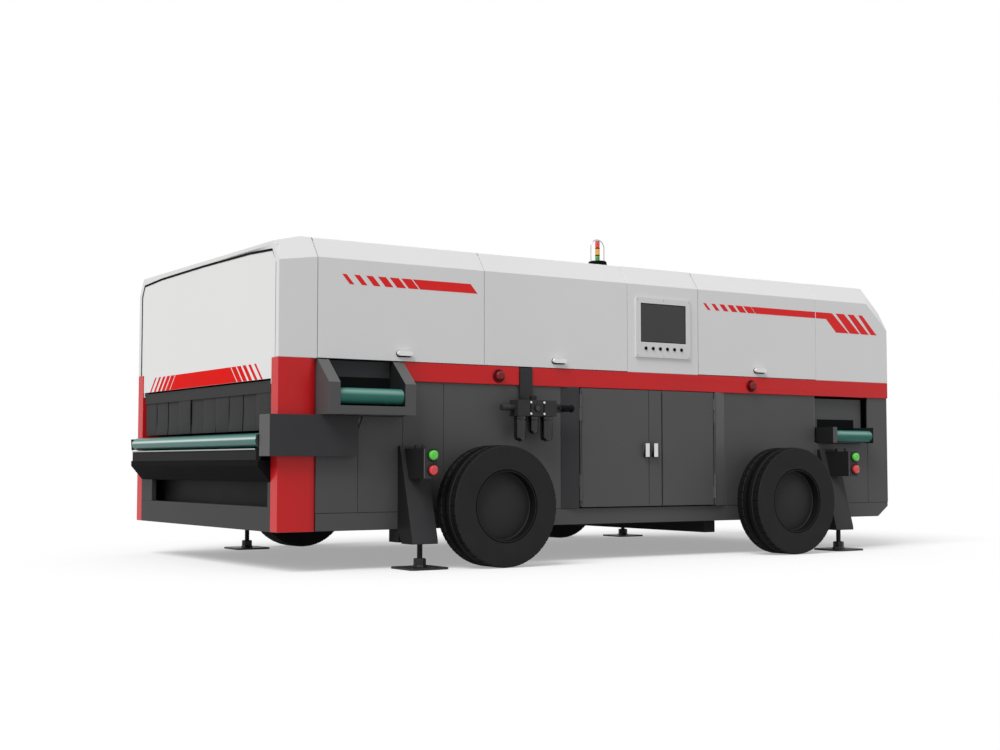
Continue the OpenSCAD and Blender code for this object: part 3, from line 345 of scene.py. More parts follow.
# Painted shade: the drive cover's sides get the dimmer leg paint, its end face the charcoal paint.
dress("infeed_drive_cover", LEG_PAINT_AND_SHADE, 0.004, [(CHARCOAL, to_infeed)])
# Painted shade: the lip under the belt and the hopper below it get darker paints than the rest of the frame.
dress("infeed_frame", GREY_AND_HIGHLIGHT, 0.002,
      [(SHADE_GREY, lambda centre, normal: centre.x < END_X and centre.z > LIP_Z),
       (HOPPER_SHADE, lambda centre, normal: centre.x < HOPPER_X and centre.z < LIP_Z)])
# Painted shade and highlight: the recessed back wall gets the dimmer leg paint, the sloped tops a paler grey,
# and the inner face of the cheek away from the infeed end the shade paint.
dress("upper_cross_frame", CHARCOAL, 0.0025,
      [(LEG_PAINT_AND_SHADE, recess), (HIGHLIGHT_GREY, sloped_top),
       (SHADE, lambda centre, normal: to_infeed(centre, normal) and centre.x > TROUGH_X)])
# Painted shade on faces that look towards the infeed end.
dress("lower_cross_frame", CHARCOAL, 0.0025, [(SHADE, to_infeed)])
dress("infeed_belt", BELT, 0.001)
for name in ("upper_cross_belt", "lower_cross_belt"):
    dress(name, CROSS_BELT, 0.001)
for name in ("infeed_nose_roller", "infeed_head_roller", "upper_cross_roller", "lower_cross_roller"):
    dress(name, STEEL, 0.001)
dress("door_hinges", WHITE, 0.0008, [(CHARCOAL, lambda centre, normal: centre.z < HOOD_Z)])
dress("ejector_bar", STEEL, 0.0015)
dress("inner_frame", FRAME_GREY, 0.0)
dress("axles", DARK, 0.003)
dress("camera_housing", DARK, 0.004)
dress("lamp_bars", LAMP, 0.008)
dress("air_tank", TANK, 0.002)
dress("electrical_panel", MODULE, 0.003)
# Painted shade on the faces of the control boxes that look towards the infeed end.
dress("control_boxes", LEG_PAINT_AND_SHADE, 0.004, [(SHADE, to_infeed)])
dress("monitor", BEZEL, 0.0025, [(KEY_AND_SHADE, outside(KEY_OUT))])
dress("screen_glass", SCREEN, 0.001)
dress("tower_stem", BLACK_AND_SHADE, 0.0015, [(ZINC, lambda centre, normal: centre.z > TOWER_Z)])
dress("air_unit", AIR_METAL, 0.004)
dress("regulator_knob", BLACK_AND_SHADE, 0.0015)
dress("valve_lever", BLACK_AND_SHADE, 0.002)
for end in AXLE_NAMES:
    dress("start_button_" + end, BUTTON_GREEN, 0.003)
    dress("stop_button_" + end, BUTTON_RED, 0.003)
    dress("stop_head_" + end, STOP_RED, 0.004)


# Mesh makers

def add_piece(name, mesh, material, body, replaced=()):
    """Puts a finished mesh into the scene, riding on a body."""
    obj = bpy.data.objects.new(name, mesh)
    bpy.context.scene.collection.objects.link(obj)
    for each in material if isinstance(material, (list, tuple)) else [material]:
        mesh.materials.append(each)
    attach(obj, body)
    for node in replaced:
        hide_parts(node)
    return obj


def to_mesh(name, bm):
    """Mesh from a bmesh, with its faces turned outward."""
    bmesh.ops.recalc_face_normals(bm, faces=bm.faces)
    mesh = bpy.data.meshes.new(name)
    bm.to_mesh(mesh)
    bm.free()
    return mesh


def plate_into(bm, outline, thickness, place):
    """Adds a plate: an outline of (u, v) points, thickened, put in place by a matrix."""
    lower = [bm.verts.new(place @ Vector((u, v, 0))) for u, v in outline]
    upper = [bm.verts.new(place @ Vector((u, v, thickness))) for u, v in outline]
    count = len(outline)
    bm.faces.new(lower[::-1])
    bm.faces.new(upper)
    for i in range(count):
        j = (i + 1) % count
        bm.faces.new((lower[i], lower[j], upper[j], upper[i]))


def turned_into(bm, profile, place, segments=32):
    """Adds a turned shape: (radius, height) points turned about the local Z axis."""
    rings = []
    for radius, height in profile:
        if radius < 1e-6:
            rings.append([bm.verts.new(place @ Vector((0, 0, height)))])
            continue
        ring = []
        for i in range(segments):
            a = 2 * math.pi * i / segments
            ring.append(bm.verts.new(place @ Vector((radius * math.cos(a), radius * math.sin(a), height))))
        rings.append(ring)
    for low, high in zip(rings, rings[1:]):
        for i in range(segments):
            j = (i + 1) % segments
            corners = [low[i % len(low)], low[j % len(low)], high[j % len(high)], high[i % len(high)]]
            unique = list(dict.fromkeys(corners))
            if len(unique) > 2:
                bm.faces.new(unique)


def finish_piece(name, bm, material, body, width=0.0, replaced=(), sharp=None):
    """Mesh, material, ride and rounded edges in one go; edges over the sharp angle in degrees stay crisp."""
    obj = add_piece(name, to_mesh(name, bm), material, body, replaced)
    smooth_edges(obj, width)
    if sharp:
        obj.data.set_sharp_from_angle(angle=math.radians(sharp))
    return obj


# Frames for flat work: u runs along the surface, v up, and the thickness outward

def side_plane(y):
    """Frame of an upright plane that looks to the operator side."""
    return Matrix(((1, 0, 0, 0), (0, 0, -1, y), (0, 1, 0, 0), (0, 0, 0, 1)))


def end_plane(x):
    """Frame of an upright plane that looks to the infeed end."""
    return Matrix(((0, 0, -1, x), (-1, 0, 0, 0), (0, 1, 0, 0), (0, 0, 0, 1)))


SIDE_FACE = side_plane(SIDE_Y)
END_FACE = end_plane(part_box("infeed_end_panel")[0].x)
TO_OPERATOR = Matrix.Rotation(math.pi / 2, 4, "X")
VINYL_T = 0.0006


def raised(face, height):
    """Frame that stands off a face by a height."""
    return face @ Matrix.Translation((0, 0, height))


def rectangle(left, bottom, right, top):
    """Outline of a rectangle."""
    return [(left, bottom), (right, bottom), (right, top), (left, top)]


def slanted_bar(left, width, slant, low, high):
    """Outline of a leaning bar, given its top left corner."""
    return [(left + slant, low), (left + slant + width, low), (left + width, high), (left, high)]


# Stripes

def growing_bars(bm, first, pitch, thin, growth, slant, low, high):
    """Adds six leaning bars on the side, each wider than the one before."""
    for i in range(6):
        bar = slanted_bar(first + i * pitch, thin + i * growth, slant, low, high)
        plate_into(bm, bar, VINYL_T, SIDE_FACE)


def hood_stripes():
    """Leaning bars that grow into a solid band, once on the front door and once towards the rear end."""
    low, high, slant = 1.600, 1.655, 0.050
    bm = bmesh.new()
    growing_bars(bm, along(0.384), 0.0760, 0.028, 0.0078, slant, low, high)
    plate_into(bm, slanted_bar(along(0.840), 0.394, slant, low, high), VINYL_T, SIDE_FACE)
    finish_piece("front_hood_stripe", bm, VINYL, "hood_door_front")

    low, high, slant = 1.609, 1.653, 0.042
    seam = (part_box("hood_door_rear")[1].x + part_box("rear_hood")[0].x) / 2
    gap, band = 0.004, along(3.476)
    bm = bmesh.new()
    growing_bars(bm, along(3.048), 0.0713, 0.024, 0.0085, slant, low, high)
    plate_into(bm, [(band + slant, low), (seam - gap, low), (seam - gap, high), (band, high)], VINYL_T,
               SIDE_FACE)
    finish_piece("rear_door_stripe", bm, VINYL, "hood_door_rear")

    foot = 1.518
    bm = bmesh.new()
    plate_into(bm, [(seam + gap, low), (along(4.186), low), (along(4.284), foot), (along(4.409), foot),
                    (along(4.246), high), (seam + gap, high)], VINYL_T, SIDE_FACE)
    for top, top_w, bottom, bottom_w in ((4.281, 0.085, 4.422, 0.100), (4.401, 0.063, 4.536, 0.080),
                                         (4.507, 0.042, 4.636, 0.060)):
        plate_into(bm, [(along(bottom), foot), (along(bottom + bottom_w), foot), (along(top + top_w), high),
                        (along(top), high)], VINYL_T, SIDE_FACE)
    finish_piece("rear_hood_stripe", bm, VINYL, "machine")


def end_stripe():
    """Solid band with leaning bars at both ends, low on the infeed end panel."""
    low, high, slant, half = 1.0615, 1.153, 0.095, 0.435
    gap, pitch, wide, shrink = 0.012, 0.081, 0.064, 0.010
    bm = bmesh.new()
    band = [(-half - slant, low), (half + slant, low), (half, high), (-half, high)]
    plate_into(bm, band, VINYL_T, END_FACE)
    for i in range(5):
        inner = half + gap + i * pitch
        outer = inner + wide - i * shrink
        for side in (-1, 1):
            bar = [(inner + slant, low), (outer + slant, low), (outer, high), (inner, high)]
            plate_into(bm, [(side * u, v) for u, v in bar], VINYL_T, END_FACE)
    finish_piece("end_panel_stripe", bm, END_VINYL, "machine")


hood_stripes()
end_stripe()


# Wheels

def tyre_into(bm, radius, width, rim, place):
    """Adds a tyre: flat side walls with a sharp edge, a grooved tread and notches in its shoulders."""
    blocks, groove, notch, margin, land = 40, 0.004, 0.003, 0.022, 0.031
    span = width - 2 * margin
    tread = [0.0, 0.030, 0.034, 0.038, 0.042, 0.082, 0.086, 0.090, 0.094]
    tread = tread + [span - t for t in reversed(tread)]
    last = len(tread) - 1
    rings = [(rim, 0.008, 0), (rim + 0.006, 0.0, 0), (radius - 0.011, 0.0, 0), (radius - 0.002, 0.006, 1)]
    for i, t in enumerate(tread):
        sunk = min(i, last - i) % 4 in (2, 3)
        shoulder = t < land or t > span - land
        rings.append((radius - (groove if sunk else 0.0), margin + t, 1 if shoulder else 0))
    rings += [(radius - 0.002, width - 0.006, 1), (radius - 0.011, width, 0), (rim + 0.006, width, 0),
              (rim, width - 0.008, 0)]
    pitch = 2 * math.pi / blocks
    turns = []
    for b in range(blocks):
        turns += [(b * pitch, 0), ((b + 0.80) * pitch, 0), ((b + 0.84) * pitch, 1), ((b + 0.96) * pitch, 1)]
    grid = []
    for r, y, shoulder in rings:
        row = []
        for a, cut in turns:
            at = r - (notch if cut and shoulder else 0.0)
            row.append(bm.verts.new(place @ Vector((at * math.cos(a), at * math.sin(a), y))))
        grid.append(row)
    count = len(turns)
    for low, high in zip(grid, grid[1:] + grid[:1]):
        for i in range(count):
            j = (i + 1) % count
            bm.faces.new((low[i], low[j], high[j], high[i]))


def darken_rounds(mesh):
    """Paints the round faces of a wheel near black: painted shade on the tread and on the rim's inner wall.
    """
    for polygon in mesh.polygons:
        polygon.material_index = 1 if abs(polygon.normal.y) < 0.6 else 0


def wheel(end, side):
    """Tyre and dished rim in place of a plain wheel solid."""
    node = f"wheel_{end}_{side}"
    low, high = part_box(node)
    radius, width, rim = (high.z - low.z) / 2, high.y - low.y, 0.205
    sign = -1 if side == "near" else 1
    inner = high.y if side == "near" else low.y
    place = Matrix.Translation(((low.x + high.x) / 2, inner, (low.z + high.z) / 2))
    place = place @ Matrix.Rotation(-sign * math.pi / 2, 4, "X")
    bm = bmesh.new()
    tyre_into(bm, radius, width, rim, place)
    tyre = finish_piece("tyre_" + node, bm, [TYRE, WHEEL_SHADE], node, 0.0, [node], 35)
    darken_rounds(tyre.data)

    bm = bmesh.new()
    face, hub = width - 0.060, 0.168
    profile = [(0.030, 0.022), (0.058, 0.022), (0.060, 0.026), (0.060, face - 0.022),
               (rim - 0.024, face - 0.020), (rim - 0.016, face - 0.030), (rim - 0.016, 0.020),
               (rim - 0.004, 0.012), (rim, 0.016), (rim, width - 0.007), (rim - 0.002, width - 0.003),
               (rim - 0.005, width - 0.003), (rim - 0.007, width - 0.006), (rim - 0.010, face + 0.004),
               (rim - 0.014, face), (0.070, hub - 0.002), (0.040, hub), (0.0, hub)]
    turned_into(bm, profile, place, 96)
    dish = finish_piece("rim_" + node, bm, [RIM, WHEEL_SHADE], node, sharp=40)
    darken_rounds(dish.data)


for end in AXLE_NAMES:
    for side in SIDE_NAMES:
        wheel(end, side)


# Jacks

def jack(end, side):
    """Foot plate with cut corners, nut and threaded rod in place of a plain jack solid."""
    node = f"jack_{end}_{side}"
    low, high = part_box(node)
    half, cut, plate_t, nut_top = (high.x - low.x) / 2, 0.018, 0.012, 0.060
    inset = half - cut
    place = Matrix.Translation(((low.x + high.x) / 2, (low.y + high.y) / 2, 0))
    bm = bmesh.new()
    plate_into(bm, [(half, -inset), (half, inset), (inset, half), (-inset, half), (-half, inset),
                    (-half, -inset), (-inset, -half), (inset, -half)], plate_t, place)
    turned_into(bm, [(0.0, plate_t), (0.046, plate_t), (0.040, 0.020), (0.037, 0.024), (0.037, 0.056),
                     (0.033, nut_top), (0.0, nut_top)], place, 8)
    finish_piece("foot_" + node, bm, BLACK_STEEL, node, 0.0015, [node], 30)

    crest, root, step, top = 0.0164, 0.0146, 0.005, high.z
    foot, z = 0.058, 0.062
    profile = [(0.0, foot), (crest, foot)]
    while z + step < top - 0.004:
        profile += [(crest, z), (root, z + 0.0018), (root, z + 0.0028), (crest, z + 0.0046)]
        z += step
    profile += [(crest, top - 0.003), (crest - 0.003, top), (0.0, top)]
    bm = bmesh.new()
    turned_into(bm, profile, place, 28)
    finish_piece("screw_" + node, bm, BLACK_STEEL, node, sharp=30)


for end in AXLE_NAMES:
    for side in SIDE_NAMES:
        jack(end, side)


# Strip curtain

def strip_into(bm, i, left, right, x, low_z, high_z):
    """Adds one hanging strip of the curtain, in one of two layers, that sags and bows a little."""
    rows, columns, half_t = 10, 4, 0.0015
    layer, sag_depth, bow_depth = (0.0016 if i % 2 else -0.0016), 0.004, 0.0022
    grid = {}
    for r in range(rows + 1):
        z = low_z + (high_z - low_z) * r / rows
        sag = sag_depth * math.sin(math.pi * r / rows) * (1 if i % 3 else -0.6)
        for c in range(columns + 1):
            y = left + (right - left) * c / columns
            bow = bow_depth * math.cos(math.pi * (c / columns - 0.5)) * (1 - r / rows)
            for k, off in enumerate((-half_t, half_t)):
                grid[r, c, k] = bm.verts.new((x + layer + sag - bow + off, y, z))
    for r in range(rows):
        for c in range(columns):
            for k in (0, 1):
                bm.faces.new((grid[r, c, k], grid[r, c + 1, k], grid[r + 1, c + 1, k], grid[r + 1, c, k]))
        for c in (0, columns):
            bm.faces.new((grid[r, c, 0], grid[r + 1, c, 0], grid[r + 1, c, 1], grid[r, c, 1]))
    for c in range(columns):
        for r in (0, rows):
            bm.faces.new((grid[r, c, 0], grid[r, c + 1, 0], grid[r, c + 1, 1], grid[r, c, 1]))


def curtain():
    """Hanging rubber strips, their rod and a header bar, in place of the plain comb."""
    low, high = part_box("curtain")
    count, reach, gap = 10, 0.985, 0.002
    pitch = 2 * reach / count
    x, top = (low.x + high.x) / 2, high.z - 0.008
    bm = bmesh.new()
    for i in range(count):
        left, right = -reach + i * pitch + gap, -reach + (i + 1) * pitch - gap
        strip_into(bm, i, left, right, x, low.z, top)
    finish_piece("curtain_strips", bm, CURTAIN, "curtain", 0.0, ["curtain"])

    rod_r, rod_end, length, chamfer = 0.0079, 0.0065, 1.004, 0.0015
    rod = Matrix.Translation((x, 0, top)) @ TO_OPERATOR
    bm = bmesh.new()
    turned_into(bm, [(0.0, -length), (rod_end, -length), (rod_r, -length + chamfer),
                     (rod_r, length - chamfer), (rod_end, length), (0.0, length)], rod, 20)
    header = rectangle(-reach, top - 0.060, reach, top - 0.004)
    plate_into(bm, header, 0.003, end_plane(x - 0.0052))
    finish_piece("curtain_header", bm, CURTAIN, "curtain", 0.0008)


curtain()


# Signal tower

def tower():
    """Ribbed lenses with dark seals between them, in place of plain cylinders, and a dark base."""
    low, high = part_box("tower_lenses")
    radius, height = (high.x - low.x) / 2, (high.z - low.z) / 3
    x, y = (low.x + high.x) / 2, (low.y + high.y) / 2
    place = Matrix.Translation((x, y, low.z))
    ribs, foot, seal, lip = 8, 0.001, 0.003, 0.0006
    rise = (height - 0.010) / ribs
    for i, (name, material) in enumerate((("green", LENS_GREEN), ("amber", LENS_AMBER), ("red", LENS_RED))):
        base = i * height
        top = base + height - seal
        profile = [(0.0, base + foot), (radius - 0.002, base + foot), (radius - 0.001, base + 0.003)]
        for r in range(ribs):
            z = base + 0.005 + r * rise
            profile += [(radius, z + rise * 0.25), (radius, z + rise * 0.6),
                        (radius - 0.0012, z + rise * 0.95)]
        profile += [(radius - 0.002, top), (0.0, top)]
        bm = bmesh.new()
        turned_into(bm, profile, place, 40)
        finish_piece("lens_" + name, bm, material, "machine", 0.0,
                     ["tower_lenses"] if i == 0 else [])
    bm = bmesh.new()
    for i in (1, 2):
        under, over = i * height - seal, i * height + foot
        turned_into(bm, [(0.0, under), (radius + lip, under), (radius + lip, over), (0.0, over)], place, 40)
    cap = 3 * height
    turned_into(bm, [(radius - 0.001, cap - 0.003), (radius, cap - 0.002), (radius - 0.003, cap), (0.0, cap)],
                place, 40)
    finish_piece("lens_seals", bm, BLACK_AND_SHADE, "machine")

    stem_low, stem_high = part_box("tower_stem")
    wide = (stem_high.x - stem_low.x) / 2 - 0.004
    bm = bmesh.new()
    turned_into(bm, [(0.0, 0.008), (wide, 0.008), (wide, 0.024), (wide - 0.006, 0.031),
                     (radius + 0.002, 0.033), (0.0, 0.033)], Matrix.Translation((x, y, stem_low.z)), 48)
    finish_piece("tower_base", bm, KEY_AND_SHADE, "machine")


tower()


# Air service unit

def air_unit():
    """Ribbed bowl guards in place of plain bowls, clamp bolts and a gauge."""
    low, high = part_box("air_bowls")
    face_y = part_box("air_unit")[0].y
    x, y, bowl_top = (low.x + high.x) / 2, (low.y + high.y) / 2, high.z
    pitch, ribs, rib_half, rib_t = 0.096, 10, 0.0025, 0.002
    upright = Matrix(((0, 0, 1, 0), (1, 0, 0, 0), (0, 1, 0, 0), (0, 0, 0, 1)))
    bm = bmesh.new()
    for i in (-1, 0, 1):
        radius, length = (0.031, 0.106) if i == 0 else (0.037, high.z - low.z)
        place = Matrix.Translation((x + i * pitch, y, bowl_top))
        turned_into(bm, [(0.0, 0.0), (radius - 0.002, 0.0), (radius, -0.002), (radius, -0.016),
                         (radius - 0.003, -0.018), (radius - 0.003, -0.022), (radius - 0.001, -0.025),
                         (radius - 0.002, 0.022 - length), (radius - 0.008, 0.008 - length),
                         (0.012, 0.004 - length), (0.010, -length), (0.0, -length)], place, 40)
        outline = rectangle(-rib_half, 0.026 - length, rib_half, -0.028)
        seat = Matrix.Translation((radius - 0.002, 0, 0))
        for k in range(ribs):
            turn = Matrix.Rotation(2 * math.pi * k / ribs, 4, "Z")
            plate_into(bm, outline, rib_t, place @ turn @ seat @ upright)
    finish_piece("air_bowl_guards", bm, BOWL, "machine", 0.0006, ["air_bowls"])

    bolt = [(0.0, -0.012), (0.0075, -0.012), (0.0075, 0.005), (0.006, 0.0065), (0.0, 0.0065)]
    bm = bmesh.new()
    for i in (-1, 1):
        for z in (bowl_top + 0.014, bowl_top + 0.082):
            turned_into(bm, bolt, Matrix.Translation((x + i * pitch / 2, face_y, z)) @ TO_OPERATOR, 18)
    finish_piece("air_clamp_bolts", bm, ZINC, "machine", 0.0006)

    spot = Matrix.Translation((x, face_y, bowl_top + 0.048)) @ TO_OPERATOR
    bm = bmesh.new()
    turned_into(bm, [(0.0, -0.004), (0.022, -0.004), (0.022, 0.010), (0.019, 0.012), (0.018, 0.009),
                     (0.0, 0.009)], spot, 36)
    finish_piece("air_gauge", bm, BLACK_AND_SHADE, "machine", 0.0006)
    bm = bmesh.new()
    turned_into(bm, [(0.0, 0.0085), (0.0175, 0.0085), (0.0175, 0.0096), (0.0, 0.0096)], spot, 36)
    finish_piece("air_gauge_dial", bm, SCREEN, "machine")


air_unit()


# Controls, seals, covers, painted shade and highlight strips, and other small pieces

def control_rings():
    """Collars around the push buttons and the stop heads."""
    button_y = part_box("control_boxes")[0].y
    collar = [(0.0280, -0.002), (0.0330, -0.002), (0.0330, 0.0035), (0.0315, 0.0050), (0.0290, 0.0050),
              (0.0280, 0.0040), (0.0280, -0.002)]
    bm = bmesh.new()
    for end in AXLE_NAMES:
        for kind in ("start", "stop"):
            low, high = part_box(f"{kind}_button_{end}")
            spot = Matrix.Translation(((low.x + high.x) / 2, button_y, (low.z + high.z) / 2))
            turned_into(bm, collar, spot @ TO_OPERATOR, 40)
    finish_piece("button_collars", bm, BLACK_AND_SHADE, "machine")
    collar = [(0.0305, -0.002), (0.0410, -0.002), (0.0400, 0.0050), (0.0370, 0.0065), (0.0320, 0.0055),
              (0.0305, 0.0035), (0.0305, -0.002)]
    bm = bmesh.new()
    for end in AXLE_NAMES:
        low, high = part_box("stop_head_" + end)
        spot = Matrix.Translation(((low.x + high.x) / 2, SIDE_Y, (low.z + high.z) / 2))
        turned_into(bm, collar, spot @ TO_OPERATOR, 44)
    finish_piece("stop_collars", bm, COLLAR_RED, "machine")


def screen_gasket():
    """Dark seal around the screen."""
    low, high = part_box("screen_glass")
    width, thick, proud = 0.005, 0.0008, 0.0006
    face = raised(SIDE_FACE, SIDE_Y - low.y + proud - thick)
    outer = rectangle(low.x, low.z, high.x, high.z)
    inner = rectangle(low.x + width, low.z + width, high.x - width, high.z - width)
    bm = bmesh.new()
    for i in range(4):
        j = (i + 1) % 4
        plate_into(bm, [outer[i], outer[j], inner[j], inner[i]], thick, face)
    finish_piece("screen_gasket", bm, KEY_AND_SHADE, "machine")


def end_reveal_shade():
    """Dark line along the sides and top of the infeed end panel, painted shade of the reveal under its rim,
    and a white filler from it to the rim.
    """
    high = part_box("infeed_end_panel")[1]
    edge, top, bend_y = high.y, high.z, 0.700
    half = [(edge, HOOD_Z + 0.003), (edge, top - 0.089), (edge - 0.044, top - 0.019), (bend_y, top - 0.005),
            (0.0, top)]
    line = [Vector(p) for p in half] + [Vector((-y, z)) for y, z in reversed(half[:-1])]
    near_side = len(line) - 2
    inner, outer = [], []
    for i, point in enumerate(line):
        # The painted shade is wide along the top and far side and thin along the near side.
        inward, outward = (0.004, 0.009) if i < near_side else (0.0005, 0.002)
        before = line[max(i - 1, 0)]
        after = line[min(i + 1, len(line) - 1)]
        run = (after - before).normalized()
        square = Vector((run.y, -run.x))
        inner.append(point - square * inward)
        outer.append(point + square * outward)
    shade_t = 0.002
    bm = bmesh.new()
    for i in range(len(line) - 1):
        corners = [inner[i], inner[i + 1], outer[i + 1], outer[i]]
        plate_into(bm, [(-p.x, p.y) for p in corners], shade_t, END_FACE)
    finish_piece("end_panel_reveal_shade", bm, KEY_AND_SHADE, "machine")

    wide, tip, shoulder, crest = edge + 0.0120, edge - 0.0128, top - 0.0260, top + 0.0120
    sunk, proud = 0.0245, 0.0043
    seat = raised(END_FACE, -sunk)
    bm = bmesh.new()
    for side, (foot, bend, shallow, middle) in ((1, outer[1:5]), (-1, outer[7:3:-1])):
        for outline in ([foot, (side * wide, foot.y), (side * wide, shoulder), (side * tip, crest), bend],
                        [bend, (side * tip, crest), (side * bend_y, crest), shallow],
                        [shallow, (side * bend_y, crest), (0, crest), middle]):
            plate_into(bm, [(-p[0], p[1]) for p in outline], sunk + proud, seat)
    finish_piece("end_rim_filler", bm, WHITE, "machine", 0.0005)


def box_edge_highlights():
    """Paler strip down the front edge of each control box, a painted highlight."""
    low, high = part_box("control_boxes")
    width, height, strip, margin, thick = 0.085, 0.170, 0.006, 0.004, 0.0015
    face = raised(SIDE_FACE, SIDE_Y - low.y)
    bm = bmesh.new()
    for left in (low.x, high.x - width):
        outline = rectangle(left, low.z + margin, left + strip, low.z + height - margin)
        plate_into(bm, outline, thick, face)
    finish_piece("control_box_edge_highlights", bm, HIGHLIGHT_GREY, "machine", 0.0004)


def belt_gap_shades():
    """Dark sheets that close the gaps above the cross belts: painted shade."""
    thick = 0.003
    bm = bmesh.new()
    for node, cheek, trim, inset, bottom, top in (("upper_cross_frame", 0.070, 0.0, 0.036, 1.014, 1.080),
                                                  ("lower_cross_frame", 0.040, 0.038, 0.046, 0.828, 0.905)):
        low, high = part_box(node)
        outline = rectangle(low.x + cheek, bottom, high.x - trim - cheek, top)
        plate_into(bm, outline, thick, raised(SIDE_FACE, -inset - thick))
    finish_piece("belt_gap_shades", bm, HOPPER_SHADE, "machine", 0.0006)


def belt_scraper():
    """Pale plastic scraper along the top of the lip under the infeed belt."""
    half, bottom, top, thick = 0.980, 0.669, 0.676, 0.002
    bm = bmesh.new()
    plate_into(bm, rectangle(-half, bottom, half, top), thick, end_plane(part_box("infeed_frame")[0].x))
    finish_piece("belt_scraper", bm, SCRAPER, "machine", 0.0006)


def bezel_screws():
    """Small screws around the monitor surround."""
    low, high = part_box("monitor")
    face_y, edge = SIDE_Y - 0.012, 0.012
    screw = [(0.0, -0.001), (0.0045, -0.001), (0.0045, 0.0012), (0.003, 0.002), (0.0, 0.002)]
    bm = bmesh.new()
    for x in (low.x + edge, (low.x + high.x) / 2, high.x - edge):
        for z in (low.z + edge, high.z - edge):
            turned_into(bm, screw, Matrix.Translation((x, face_y, z)) @ TO_OPERATOR, 14)
    finish_piece("bezel_screws", bm, STEEL, "machine")


def valve_grip():
    """Rubber grip with a round end on the shut-off lever, and a bright nut beside the valve."""
    low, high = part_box("valve_lever")
    lengthwise = Matrix.Rotation(math.pi / 2, 4, "Y")
    y, z, length = low.y + 0.008, (low.z + high.z) / 2, high.x - low.x
    bm = bmesh.new()
    turned_into(bm, [(0.0, 0.022), (0.015, 0.022), (0.020, 0.028), (0.020, length - 0.034),
                     (0.013, length - 0.030), (0.013, length - 0.024), (0.022, length - 0.018),
                     (0.023, length - 0.008), (0.018, length), (0.0, length + 0.002)],
                Matrix.Translation((low.x, y, z)) @ lengthwise, 24)
    finish_piece("valve_grip", bm, KEY_AND_SHADE, "valve_lever")
    spot = Matrix.Translation((low.x - 0.023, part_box("air_unit")[0].y + 0.045, z))
    bm = bmesh.new()
    turned_into(bm, [(0.019, 0.0), (0.026, 0.0), (0.028, 0.002), (0.028, 0.007), (0.026, 0.009),
                     (0.019, 0.009), (0.019, 0.0)], spot @ lengthwise, 6)
    finish_piece("valve_nut", bm, ZINC, "machine", 0.0006)


def hinge_covers():
    """Rolled top edge that closes the slot over the hinges of a hood door, cut back at the fixed leaves."""
    roof_low, roof_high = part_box("roof_panel")
    offset, outer, inner, steps = 0.012, 0.0118, 0.0103, 12
    axis = Vector((roof_low.y - offset, roof_high.z - offset))
    shoulder_in, shoulder_drop = 0.085, 0.120
    start = math.pi - math.atan2(shoulder_in, shoulder_drop)
    outward = Vector((math.cos(start), math.sin(start)))
    foot = axis + Vector((-0.0197, -0.006))
    leaf, barrel, seam, clear = 0.080, 0.082, 0.002, 0.002
    for door in HOOD_DOORS:
        node = "hood_door_" + door
        low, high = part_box(node)
        width, first = high.x - low.x + 2 * seam, low.x - seam
        places = (0.1 * width + barrel, 0.5 * width - leaf / 2 + barrel, 0.9 * width - leaf - barrel)
        cuts = [low.x] + [first + p + d for p in places for d in (-clear, leaf + clear)] + [high.x]
        bm = bmesh.new()
        for i, (left, right) in enumerate(zip(cuts, cuts[1:])):
            end = math.radians(100 if i % 2 else 15)
            turns = [start + (end - start) * k / steps for k in range(steps + 1)]
            rim = [axis + outer * Vector((math.cos(a), math.sin(a))) for a in turns]
            back = [axis + inner * Vector((math.cos(a), math.sin(a))) for a in reversed(turns)]
            section = [foot] + rim + back + [foot - outward * (outer - inner)]
            place = Matrix(((0, 0, 1, left), (1, 0, 0, 0), (0, 1, 0, 0), (0, 0, 0, 1)))
            plate_into(bm, section, right - left, place)
        finish_piece("hinge_cover_" + door, bm, WHITE, node)


def leg_feet():
    """Box under the sill that each jack leg stands on."""
    low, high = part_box("jack_legs")
    width, depth, middle_y = 0.166, 0.110, 1.045
    bottom, top = low.z + 0.005, 0.222
    bm = bmesh.new()
    for left in (low.x, high.x - width):
        for side in (-1, 1):
            face = side_plane(side * middle_y + depth / 2)
            plate_into(bm, rectangle(left, bottom, left + width, top), depth, face)
    # Painted shade: the boxes are painted with the shade paint.
    finish_piece("leg_feet", bm, SHADE, "machine", 0.002)


def handle_shadow_plates():
    """Dark plates behind the capsule handles of the hood doors, set a little low: painted shadow."""
    length, radius, sag, thick, steps = 0.102, 0.018, 0.003, 0.004, 10
    for door in HOOD_DOORS:
        node = "hood_door_" + door
        low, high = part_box(node)
        x, z = (low.x + high.x) / 2, HOOD_Z + 0.048 - sag
        outline = []
        for side in (1, -1):
            end = x + side * (length / 2 - radius)
            for k in range(steps + 1):
                a = math.pi * (k / steps - side / 2)
                outline.append((end + radius * math.cos(a), z + radius * math.sin(a)))
        bm = bmesh.new()
        plate_into(bm, outline, thick, SIDE_FACE)
        finish_piece("handle_underside_shadow_" + door, bm, KEY_AND_SHADE, node)


hinge_covers()
handle_shadow_plates()
leg_feet()
control_rings()
screen_gasket()
end_reveal_shade()
box_edge_highlights()
belt_gap_shades()
belt_scraper()
bezel_screws()
valve_grip()


# Camera, light and floor

